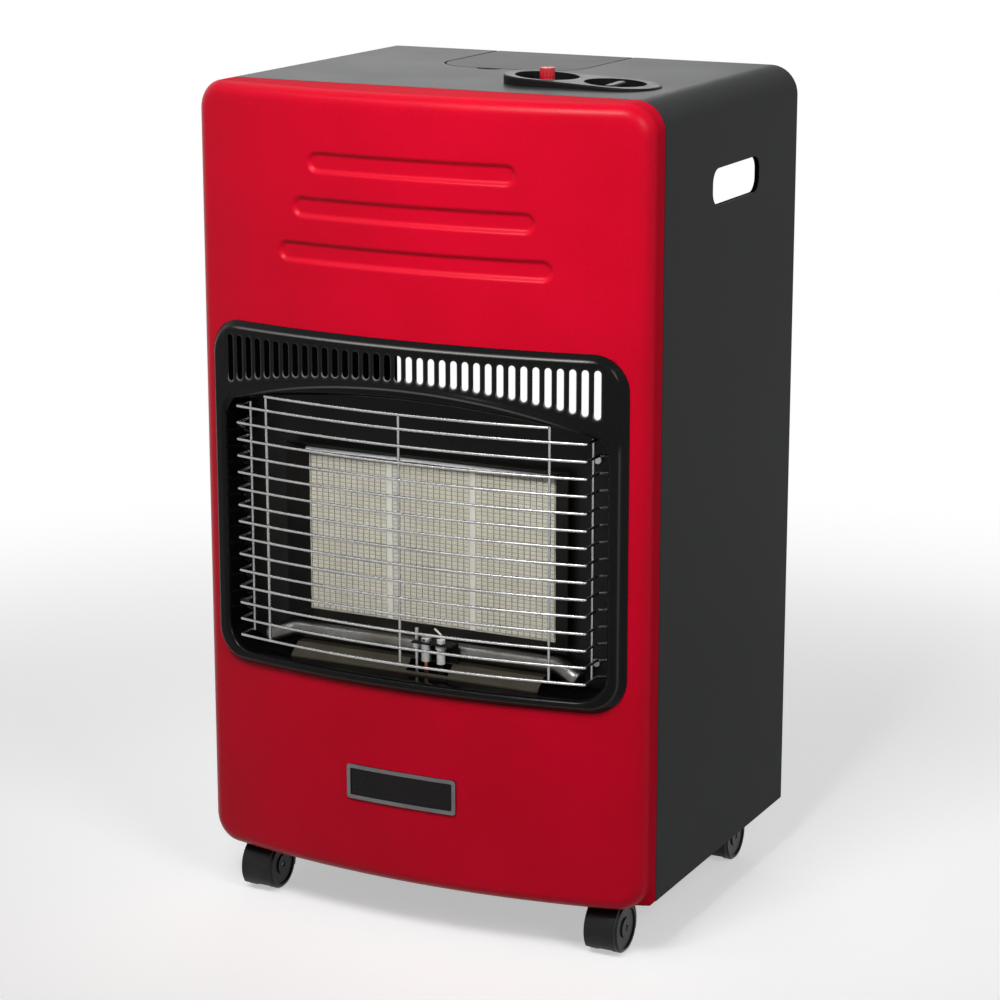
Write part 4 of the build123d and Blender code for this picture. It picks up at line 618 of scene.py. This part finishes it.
# distance of (x, z) outside the opening: box with round lower corners, arch and shoulders
def gapToOpening(x, z):
    r = bezelShape["openingCorner"]
    ax = np.abs(x)
    a = ax - (openHalf - r)
    b = openLow + r - z
    box = np.where((a > 0) & (b > 0), np.hypot(a, b) - r, np.maximum(ax - openHalf, openLow - z))
    arch = np.hypot(x, z - archZ) - archRadius
    shoulder = np.hypot(ax - shoulderX, z - shoulderZ) - bezelShape["shoulder"]
    near = (ax > shoulderX) & (z > shoulderZ) & (ax * (shoulderZ - archZ) > shoulderX * (z - archZ))
    return np.maximum(np.where(near, shoulder, np.maximum(box, arch)), 0)


# strength of the hood at x, 1 in the middle and 0 at its ends, and of the parts above the shoulders at z
def hoodSpan(x, z):
    crescent = np.clip(1 - (x / bezelShape["hoodHalf"]) ** 2, 0, 1) ** 0.7
    return crescent, ease(z, shoulderZ, shoulderZ + bezelShape["hoodStart"])


# front of the surround: the bow, raised by a bevel that blends into the face at a tight ridge, lowered by a
# round lip, with a hood whose crest fades out above it and slopes straight back to the opening below it
def bezelFront(x, z):
    s = bezelShape
    bevel = s["edgeRise"] + (s["proud"] - s["edgeRise"]) * gapToEdge(x, z) / s["bevel"]
    rise = -s["ridge"] * np.logaddexp(-bevel / s["ridge"], -s["proud"] / s["ridge"])
    gap = gapToOpening(x, z)
    lip = s["lipRound"] - np.sqrt(s["lipRound"] ** 2 - np.square(np.clip(s["lipRound"] - gap, 0, None)))
    crescent, upper = hoodSpan(x, z)
    crest = s["hoodPlace"] * crescent + 1e-4  # never zero
    above = np.exp(-np.square(np.maximum(gap - crest, 0) / s["hoodFade"]))
    hood = s["hoodRise"] * crescent * above * np.clip(gap / crest, 0, 1)
    return bowY(x) - rise + lip - hood * upper


# a cell of quads round each slot, rows above and below the band, and a strip round the rest
def bezelPatches(s):
    bandHigh = bezelHigh.z - s["slotTopGap"] + s["topMargin"]
    pitch = s["slotPitch"]
    edgeX = s["slotCount"] * pitch / 2
    xs = np.linspace(-edgeX, edgeX, s["slotCount"] * s["endSteps"] + 1)
    bandLow = archZ + np.sqrt(archRadius ** 2 - xs ** 2) + s["slotLift"] - s["bandMargin"]
    patches = []
    # one ring of quads from each slot's outline to its cell of the band
    up = np.linspace(0, 1, s["sideSteps"] + 1)
    over = np.linspace(0, 1, s["endSteps"] + 1)
    for slot in range(s["slotCount"]):
        own = slice(slot * s["endSteps"], (slot + 1) * s["endSteps"] + 1)
        cellX, cellLow = xs[own], bandLow[own]
        middle = (cellX[0] + cellX[-1]) / 2
        low = archZ + math.sqrt(archRadius ** 2 - middle ** 2) + s["slotLift"] + s["slotHalf"]
        high = bezelHigh.z - s["slotTopGap"] - s["slotHalf"]
        half = s["slotHalf"]
        headTurn, footTurn = np.pi * over[1:], np.pi * over[1:-1]
        holeX = np.concatenate([np.full(len(up), middle - half), middle - half * np.cos(headTurn),
                                np.full(len(up) - 1, middle + half), middle + half * np.cos(footTurn)])
        holeZ = np.concatenate([low + (high - low) * up, high + half * np.sin(headTurn),
                                high - (high - low) * up[1:], low - half * np.sin(footTurn)])
        rimX = np.concatenate([np.full(len(up), cellX[0]), cellX[1:], np.full(len(up) - 1, cellX[-1]),
                               cellX[-2:0:-1]])
        rimZ = np.concatenate([cellLow[0] + (bandHigh - cellLow[0]) * up, np.full(len(over) - 1, bandHigh),
                               bandHigh - (bandHigh - cellLow[-1]) * up[1:], cellLow[-2:0:-1]])
        share = np.array([0, 0.14, 0.4, 1])[:, None]
        sink = np.array([0.0008, 0.0002, 0, 0])[:, None]
        x = holeX * (1 - share) + rimX * share
        z = holeZ * (1 - share) + rimZ * share
        patches.append(patch(points3(x, bezelFront(x, z) + sink, z), closeCols=True))
    # below and above the band
    shareLow = np.concatenate([np.linspace(0, 0.4, 11) ** 1.5, np.linspace(0.3, 1, 20)])[:, None]
    zLow = openingCrest(xs) * (1 - shareLow) + bandLow * shareLow
    lower = points3(xs[None], bezelFront(xs[None], zLow), zLow)
    patches.append(patch(lower))
    shareHigh = np.concatenate([np.linspace(0, 0.9, 19), [0.93, 0.96, 0.98, 0.993, 1]])[:, None]
    zHigh = bandHigh * (1 - shareHigh) + bezelCrest(xs) * shareHigh
    upper = points3(xs[None], bezelFront(xs[None], zHigh), zHigh)
    patches.append(patch(upper))
    # inner border of the remaining strip, from the top left down, along the bottom and up the right
    corner, openCorner = s["corner"], s["openingCorner"]
    cellSide = bandHigh - (bandHigh - bandLow[0]) * up[1:]
    turn = np.linspace(math.acos((edgeX - shoulderX) / s["shoulder"]) - 1e-9, 0, 7)[1:]
    headX = np.concatenate([np.full(len(shareHigh) + len(cellSide) + len(shareLow) - 1, edgeX),
                            shoulderX + s["shoulder"] * np.cos(turn)])
    headZ = np.concatenate([zHigh[::-1, 0], cellSide, zLow[::-1, 0][1:],
                            shoulderZ + s["shoulder"] * np.sin(turn)])
    run = np.concatenate([[0], np.cumsum(np.hypot(np.diff(headX), np.diff(headZ)))])
    run = run / run[-1]
    startAngle = math.acos((edgeX - bezelHigh.x + corner) / corner)
    arcLength = corner * startAngle
    total = arcLength + bezelHigh.z - corner - shoulderZ
    angle = np.clip(startAngle - run * total / corner, 0, None)
    down = np.clip(run * total - arcLength, 0, None)
    headOutX = bezelHigh.x - corner + corner * np.cos(angle)
    headOutZ = bezelHigh.z - corner + corner * np.sin(angle) - down
    fall = np.linspace(0, 1, 24)[1:]
    bend = np.linspace(0, np.pi / 2, 12)[1:]
    along = np.linspace(1, 0, 30)[1:]
    sideX = np.concatenate([headX, np.full(len(fall), openHalf), openHalf - openCorner * (1 - np.cos(bend)),
                            (openHalf - openCorner) * along])
    sideZ = np.concatenate([headZ, shoulderZ + (openLow + openCorner - shoulderZ) * fall,
                            openLow + openCorner * (1 - np.sin(bend)), np.full(len(along), openLow)])
    outX = np.concatenate([headOutX, np.full(len(fall), bezelHigh.x),
                           bezelHigh.x - corner * (1 - np.cos(bend)), (bezelHigh.x - corner) * along])
    outZ = np.concatenate([headOutZ, shoulderZ + (bezelLow.z + corner - shoulderZ) * fall,
                           bezelLow.z + corner * (1 - np.sin(bend)), np.full(len(along), bezelLow.z)])
    innerX = np.concatenate([-sideX, sideX[-2::-1]])
    innerZ = np.concatenate([sideZ, sideZ[-2::-1]])
    outerX = np.concatenate([-outX, outX[-2::-1]])
    outerZ = np.concatenate([outZ, outZ[-2::-1]])
    share = np.concatenate([[0, 0.015, 0.05, 0.1, 0.16], np.linspace(0.22, 0.94, 19),
                            [0.96, 0.98, 0.993, 1]])[:, None]
    x = innerX * (1 - share) + outerX * share
    z = innerZ * (1 - share) + outerZ * share
    ring = points3(x, bezelFront(x, z), z)
    patches.append(patch(ring, flip=True))
    # sleeve back to the reflector plate, and a seat into the panel
    first = len(headX) - len(turn) - 1
    depth = np.array([0, 0.04, 0.12, 0.3, 0.6, 1])[:, None, None]
    plateFront = plateLow.y
    for edgeLine, turnOver in ((lower[0], True), (ring[0, first:len(innerX) - first], False)):
        back = edgeLine.copy()
        back[:, 1] = plateFront
        patches.append(patch(edgeLine * (1 - depth) + back * depth, flip=turnOver))
    for edgeLine, turnOver in ((upper[-1], False), (ring[-1], True)):
        seat = edgeLine + np.array((0, s["seat"], 0))
        patches.append(patch(np.stack([edgeLine, seat]), flip=turnOver))
    return patches


# painted highlights, 0 to 1: a bell of the distance to the ridge, the slots' rims, the hood's crest and the
# arch
def bezelPaintedHighlights(at, s):
    x, y, z = at.T
    crescent, upper = hoodSpan(x, z)
    gap = gapToOpening(x, z)
    head = s["ridgeLeft"] + (1 - s["ridgeLeft"]) * ease(x, *s["ridgeRun"])
    head = head * (1 - ease(np.abs(x), *s["ridgeEnd"])) * upper
    off = x - np.round(x / s["slotPitch"]) * s["slotPitch"]
    slotLow = archZ + np.sqrt(archRadius ** 2 - (x - off) ** 2) + s["slotLift"] + s["slotHalf"]
    slotHigh = bezelHigh.z - s["slotTopGap"] - s["slotHalf"]
    beyond = np.maximum(slotLow - z, z - slotHigh)
    rim = np.hypot(off, np.maximum(beyond, 0)) - s["slotHalf"]
    foot, right, left = s["rimLines"]
    rimShare = np.where(z < slotLow, foot, np.where(off > 0, right, left))
    inBand = np.abs(x - off) < s["slotCount"] * s["slotPitch"] / 2
    lines = ((gapToEdge(x, z) - s["bevel"], head + s["sideLine"] * (1 - upper)), (rim, rimShare * inBand),
             (gap - s["hoodPlace"] * crescent, s["crestLine"] * crescent * upper),
             (gap, s["archLine"] * upper))
    total = sum(np.exp(-np.square(away / s["edgeLine"])) * share for away, share in lines)
    return np.clip(total, 0, 1) * (y - bezelFront(x, z) < 0.001)


bezel = makePiece("bezel", bezelPatches(bezelShape), "cabinet", finishes["blackEnamel"],
                  ("front_bezel",), sharp=50, thick=sheet)
# the edge layer carries the surround's painted highlights
addLayer(bezel, "edge", bezelPaintedHighlights(vertexPlaces(bezel), bezelShape))
print("surround made")

# three pressed plaques: square blocks between grooves, with rows of holes in the grooves
plaqueShape = {
    "columns": 13, "rows": 39, "marginX": 0.0016, "marginZ": 0.0016, "stepsAcross": 15, "stepsUp": 10,
    "groove": 0.00045, "grooveDepth": 0.0003, "poreRadius": 0.00046, "poreDepth": 0.0009,
    "poresAcross": 3, "poresUp": 2, "levelShare": 0.45, "edge": 0.0005, "slack": 0.02,
}


# grooves and holes at (x, z), 0 to 1: distance to the nearest cell border, and to the nearest hole on it
def plaqueField(x, z, low, high, s):
    cellX = (high.x - low.x - 2 * s["marginX"]) / s["columns"]
    cellZ = (high.z - low.z - 2 * s["marginZ"]) / s["rows"]
    u = (x - low.x - s["marginX"]) / cellX
    v = (z - low.z - s["marginZ"]) / cellZ
    field = (np.abs(u - s["columns"] / 2) < s["columns"] / 2 + s["slack"])
    field = field & (np.abs(v - s["rows"] / 2) < s["rows"] / 2 + s["slack"])
    offU = np.abs(u - np.round(u)) * cellX
    offV = np.abs(v - np.round(v)) * cellZ
    upright, level = (ease(-off, -s["groove"] * 1.3, -s["groove"] * 0.5) for off in (offU, offV))
    groove = np.maximum(upright, s["levelShare"] * level) * field
    stepU = np.abs(u * s["poresAcross"] - np.round(u * s["poresAcross"])) * cellX / s["poresAcross"]
    stepV = np.abs(v * s["poresUp"] - np.round(v * s["poresUp"])) * cellZ / s["poresUp"]
    upright, level = (ease(-away, -s["poreRadius"] * 1.5, -s["poreRadius"] * 0.5)
                      for away in (np.hypot(offU, stepV), np.hypot(stepU, offV)))
    return groove, np.maximum(upright, s["levelShare"] * level) * field


# y = front + groove + hole, with the rim eased back
def plaquePiece(name, node, s):
    low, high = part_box(node)
    lines = []
    for first, last, margin, cells, steps in ((low.x, high.x, s["marginX"], s["columns"], s["stepsAcross"]),
                                              (low.z, high.z, s["marginZ"], s["rows"], s["stepsUp"])):
        field = np.linspace(first + margin, last - margin, cells * steps + 1)
        lines.append(np.concatenate([[first, first + margin / 2], field, [last - margin / 2, last]]))
    x, z = np.meshgrid(lines[0], lines[1])
    groove, pore = plaqueField(x, z, low, high, s)
    rim = np.minimum(np.minimum(x - low.x, high.x - x), np.minimum(z - low.z, high.z - z))
    eased = s["edge"] * (1 - ease(rim, 0, s["edge"] * 2))
    front = points3(x, low.y + s["grooveDepth"] * groove + s["poreDepth"] * pore + eased, z)
    border = np.concatenate([front[0], front[1:, -1], front[-1, -2::-1], front[-2:0:-1, 0]])
    behind = border.copy()
    behind[:, 1] = high.y
    centre = np.broadcast_to(behind.mean(axis=0), behind.shape)
    box = patch(np.stack([border, behind, centre]), closeCols=True, flip=True)
    piece = makePiece(name, [patch(front), box], "cabinet", finishes["plaqueCeramic"],
                      (node,), sharp=70)
    x, z = vertexPlaces(piece).T[[0, 2]]
    for label, values in zip(("groove", "pore"), plaqueField(x, z, low, high, s)):
        addLayer(piece, label, values)


for label, node in (("plaqueLeft", "plaque_left"), ("plaqueMiddle", "plaque_centre"),
                    ("plaqueRight", "plaque_right")):
    plaquePiece(label, node, plaqueShape)
print("plaques made")

# cement between the plaques, smeared a little over their edges
cementShape = {"proud": 0.0002, "thick": 0.006, "bulge": 0.0003, "overlap": 0.0014, "endInset": 0.0006}


# strip whose front is a shallow arc across the joint
def cementPatch(leftNode, rightNode, s):
    low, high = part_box(leftNode)
    x0 = high.x - s["overlap"]
    x1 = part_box(rightNode)[0].x + s["overlap"]
    across = np.linspace(0, 1, 9)
    face = low.y - s["proud"] - s["bulge"] * np.sin(np.pi * across)
    x = np.concatenate([[x0], x0 + (x1 - x0) * across, [x1]])
    y = np.concatenate([[low.y + s["thick"]], face, [low.y + s["thick"]]])
    z = np.linspace(low.z + s["endInset"], high.z - s["endInset"], 40)[:, None]
    wall = points3(x[None], y[None], z)
    patches = [patch(wall, closeCols=True)]
    for line, turnOver in ((wall[0], True), (wall[-1], False)):
        fan = np.stack([line, np.broadcast_to(line.mean(axis=0), line.shape)])
        patches.append(patch(fan, closeCols=True, flip=turnOver))
    return patches


makePiece("plaqueCement", cementPatch("plaque_left", "plaque_centre", cementShape)
          + cementPatch("plaque_centre", "plaque_right", cementShape), "cabinet",
          finishes["cement"])
print("cement made")

# pale strip along the upper edge of the plaques, from the frame's slope down; its near white colour is a
# painted highlight where the lip catches the light
stripShape = {"forward": 0.0042, "lean": 0.0008, "foot": 0.0002, "head": 0.0029, "thick": 0.0004}


# flat section carried along x: lower edge, upper edge, and the same two behind
def stripPatches(s):
    low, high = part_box("plaque_left")[0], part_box("plaque_right")[1]
    front = plateLow.y - s["forward"]
    y = np.array([front - s["lean"], front, front + s["thick"], front - s["lean"] + s["thick"]])
    z = high.z + np.array([s["foot"], s["head"], s["head"], s["foot"]])
    x = np.linspace(low.x, high.x, 60)[:, None]
    wall = points3(x, y[None], z[None])
    ends = [patch(line.reshape(2, 2, 3)) for line in (wall[0], wall[-1])]
    return [patch(wall, closeCols=True, flip=True)] + ends


makePiece("plaqueStrip", stripPatches(stripShape), "cabinet", finishes["paintedHighlightStrip"])
print("strip made")

# wire guard: bowed wires whose ends turn back to the sleeve, with uprights behind
guardShape = {
    "radius": 0.00125, "rows": 15, "pitch": 0.0145, "sideGap": 0.0155, "uprightInset": 0.031,
    "proud": 0.010, "topGap": 0.012, "leg": 0.024, "footDepth": 0.009, "footGap": 0.0003,
    "tipBend": 0.0022, "sideBack": 0.019, "weld": 0.0003, "arcSteps": 70,
}


# half width of the opening at a height, inside its round corners
def openingHalfAt(z):
    corner = bezelShape["openingCorner"]
    below = max(openLow + corner - z, 0)
    above = max(z - shoulderZ, 0)
    lower = openHalf - corner + math.sqrt(corner ** 2 - below ** 2)
    upper = shoulderX + math.sqrt(max(bezelShape["shoulder"] ** 2 - above ** 2, 0))
    return min(lower, upper)


# each wire a circle along the bow, its rounded corners and its legs; each upright a circle along a line
def guardPatches(s):
    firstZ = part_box("wire_guard")[0].z + s["radius"]
    half = openHalf - s["sideGap"]
    upright = half - s["uprightInset"]
    offset = s["proud"] - s["radius"]
    tipY = float(bowY(half, offset))
    patches = []
    for row in range(s["rows"]):
        z = firstZ + row * s["pitch"]
        footX = min(openingHalfAt(z - s["radius"]), openingHalfAt(z + s["radius"]))
        footX = footX - s["radius"] - s["footGap"]
        inner = half - 3 * s["tipBend"]
        leg = [(footX, tipY + s["leg"] + s["footDepth"], z), (half, tipY + s["leg"], z), (half, tipY, z),
               (inner, float(bowY(inner, offset)), z)]
        rightLeg = rounded(leg, s["tipBend"])
        x = np.linspace(inner, -inner, s["arcSteps"])[1:-1]
        arc = points3(x, bowY(x, offset), z)
        leftLeg = rightLeg[::-1] * np.array((-1, 1, 1))
        patches.append(tube(np.concatenate([rightLeg, arc, leftLeg]), s["radius"], sides=10))
    topZ = firstZ + (s["rows"] - 1) * s["pitch"]
    x = np.linspace(upright, -upright, s["arcSteps"])
    patches.append(tube(points3(x, bowY(x, offset), topZ + s["topGap"]), s["radius"], sides=10))
    behind = 2 * s["radius"] - s["weld"]
    posts = [(place, float(bowY(place, offset)) + behind, s["topGap"]) for place in (-upright, 0, upright)]
    posts += [(side * (half - behind), tipY + s["sideBack"], 0) for side in (-1, 1)]
    for x, y, rise in posts:
        z = np.linspace(firstZ - s["radius"] / 2, topZ + rise + s["radius"] / 2, 24)
        patches.append(tube(points3(x, y, z), s["radius"], up=(0, 1, 0), sides=10))
    return patches


makePiece("guardWires", guardPatches(guardShape), "cabinet", finishes["chromeWire"],
          ("wire_guard",), sharp=60)
print("guard made")

# deflector bar with round ends, bent down and forward
barShape = {"radius": 0.008, "endReach": 0.024, "endForward": 0.010, "endDrop": 0.008, "sideGap": 0.0535,
            "bend": 0.018, "domeShare": 0.3, "domeSteps": 8}


# round bar along its bent path; near the ends the radius follows a quarter ellipse
def barPatch(s):
    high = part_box("deflector_bar")[1]
    y = high.y - s["radius"]
    z = high.z - s["radius"]
    half = openHalf - s["sideGap"]
    end = half + s["endReach"]
    path = rounded([(end, y - s["endForward"], z - s["endDrop"]), (half, y, z), (-half, y, z),
                    (-end, y - s["endForward"], z - s["endDrop"])], s["bend"], 10)
    straight = np.linspace(path[10], path[11], 40)[1:-1]
    path = np.concatenate([path[:11], straight, path[11:]])
    dome = (1 - np.cos(np.linspace(0, np.pi / 2, s["domeSteps"])))[1:, None]
    dome = s["domeShare"] * s["radius"] * dome
    heads = []
    for tip, inner in ((path[0], path[1]), (path[-1], path[-2])):
        heads.append(tip + dome * (inner - tip) / np.linalg.norm(inner - tip))
    path = np.concatenate([path[:1], heads[0], path[1:-1], heads[1][::-1], path[-1:]])
    size = np.full(len(path), s["radius"])
    swell = s["radius"] * np.sqrt(np.linspace(s["domeShare"], 1, s["domeSteps"]))
    size[:s["domeSteps"]] = swell
    size[-s["domeSteps"]:] = swell[::-1]
    return tube(path, size, sides=36)


makePiece("deflectorBar", [barPatch(barShape)], "cabinet", finishes["barSteel"],
          ("deflector_bar",), sharp=60)
print("bar made")

# fluted igniter button
buttonShape = {"flutes": 16, "fluteDepth": 0.07, "fluteLength": 0.010, "fluteStep": 0.0008,
               "round": 0.0009, "dish": 0.0005, "dishShare": 0.6, "footShare": 0.97, "footRise": 0.0004}


# radius times (1 - depth of the flutes), the flutes a rounded cosine of the angle
def buttonPatch(s):
    low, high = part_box("igniter_button")
    radius = (high.x - low.x) / 2
    tall = high.z - low.z
    arc = np.linspace(0, np.pi / 2, 6)
    fluteZ = tall - s["fluteLength"]
    profile = [(0, 0), (radius * s["footShare"], 0), (radius, s["footRise"])]
    profile += [(radius, fluteZ + k * s["fluteStep"]) for k in range(-1, 3)]
    crown = s["round"] * (1 - np.stack([np.cos(arc), np.sin(arc)], axis=-1))
    profile += [(radius - inward, tall - down) for inward, down in crown]
    profile += [(radius * s["dishShare"], tall - s["dish"]), (0, tall - s["dish"])]

    def flute(angle, height):
        cut = np.clip(0.5 - np.cos(s["flutes"] * angle) * 0.9, 0, 1)
        start = fluteZ - s["fluteStep"] / 2
        return -s["fluteDepth"] * cut * ease(height, start, start + 2 * s["fluteStep"])

    return turned(profile, ((low.x + high.x) / 2, (low.y + high.y) / 2, low.z), 192, flute)


makePiece("igniterButton", [buttonPatch(buttonShape)], "button", finishes["redPlastic"],
          ("igniter_button",), sharp=40)
print("button made")

# pale floor that keeps the shadow near the heater and fades to white further out
stageShape = {"half": 16.0, "near": 0.55, "far": 1.5, "grey": 0.3, "pale": 0.72, "glow": 0.46}


# 1 for a ray from the camera, a mirror or a clear piece
def seenRays(tree):
    path = tree.nodes.new("ShaderNodeLightPath")
    kinds = ("Is Camera Ray", "Is Glossy Ray", "Is Transmission Ray")
    camera, glossy, through = (Sock(tree, path.outputs[kind]) for kind in kinds)
    return camera + glossy + through


def makeFloor(s):
    mesh = bpy.data.meshes.new("floor")
    h = s["half"]
    mesh.from_pydata([(-h, -h, 0), (h, -h, 0), (h, h, 0), (-h, h, 0)], [], [(0, 1, 2, 3)])
    floor = bpy.data.objects.new("floor", mesh)
    bpy.context.scene.collection.objects.link(floor)
    fixed = {"Roughness": 0.9, "Emission Strength": s["glow"], **mirrors(0.0)}
    material, shader, place = newFinish("studioFloor", **fixed)
    tree = material.node_tree
    seen = seenRays(tree)
    grain = place.noise(0.4, 3.0)
    grey, pale = (rgb(s[key], s[key], s[key]) for key in ("grey", "pale"))
    dress(shader, Base_Color=(seen * (grain * 0.1 + 0.9)).tint(grey, pale),
          Emission_Color=seen.tint(rgb(0, 0, 0), rgb(1, 1, 1)))
    plain = place.node("ShaderNodeEmission")
    away = place.node("ShaderNodeVectorMath", {"operation": "LENGTH"}, {0: place}, 1)
    shaders = {0: away.step(s["near"], s["far"]) * seen, 1: Sock(tree, shader.outputs[0]), 2: plain}
    mix = seen.node("ShaderNodeMixShader", {}, shaders)
    tree.links.new(mix.socket, tree.nodes["Material Output"].inputs["Surface"])
    mesh.materials.append(material)
    floor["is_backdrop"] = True


makeFloor(stageShape)

# world: soft grey light, plain white where it is seen or mirrored
world = bpy.data.worlds.new("studio")
bpy.context.scene.world = world
world.use_nodes = True
worldTree = world.node_tree
worldLevel = 0.18
worldStrength = seenRays(worldTree).ceiling(1.0) * (1 - worldLevel) + worldLevel
background = worldTree.nodes["Background"]
background.inputs["Color"].default_value = rgb(1, 1, 1)
feed(worldTree, background.inputs["Strength"], worldStrength)

# softboxes: place, aim, width, height, power in watts and spread in degrees
softboxes = {
    "key": ((0.08, -1.15, 1.55), (0.05, -0.15, 0.63), 0.6, 0.5, 2.1, 52),
    "edge": ((-0.65, -1.1, 1.85), (-0.3, -0.17, 0.5), 1.4, 0.06, 1.6, 100),
    "fill": ((1.8, -1.2, 1.5), (0.2, -0.12, 0.66), 0.8, 0.8, 3, 70),
    "back": ((-1.3, 2.3, 1.4), (-0.1, 0, 0.72), 1.2, 0.7, 8, 180),
}
for lampName, (place, aim, wide, high, power, spread) in softboxes.items():
    lamp = bpy.data.lights.new(lampName, "AREA")
    lamp.shape = "RECTANGLE"
    lamp.size = wide
    lamp.size_y = high
    lamp.energy = power
    lamp.spread = math.radians(spread)
    stand = bpy.data.objects.new(lampName, lamp)
    stand.location = place
    stand.rotation_mode = "QUATERNION"
    stand.rotation_quaternion = (Vector(aim) - Vector(place)).to_track_quat("-Z", "Y")
    bpy.context.scene.collection.objects.link(stand)
print("studio lit")

# camera at the photograph's place
cameraShape = {"place": (1.1679, -2.3434, 1.0137), "azimuth": 26.39, "elevation": 14.23, "lens": 110.05,
               "sensor": 36.0}
lensData = bpy.data.cameras.new("camera")
lensData.lens = cameraShape["lens"]
lensData.sensor_width = cameraShape["sensor"]
camera = bpy.data.objects.new("camera", lensData)
aimA = math.radians(cameraShape["azimuth"])
aimE = math.radians(cameraShape["elevation"])
backward = Vector((math.sin(aimA) * math.cos(aimE), -math.cos(aimA) * math.cos(aimE), math.sin(aimE)))
camera.location = cameraShape["place"]
camera.rotation_mode = "QUATERNION"
camera.rotation_quaternion = (-backward).to_track_quat("-Z", "Y")
bpy.context.scene.collection.objects.link(camera)
bpy.context.scene.camera = camera
bpy.context.scene.view_settings.view_transform = "Standard"

low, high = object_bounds()
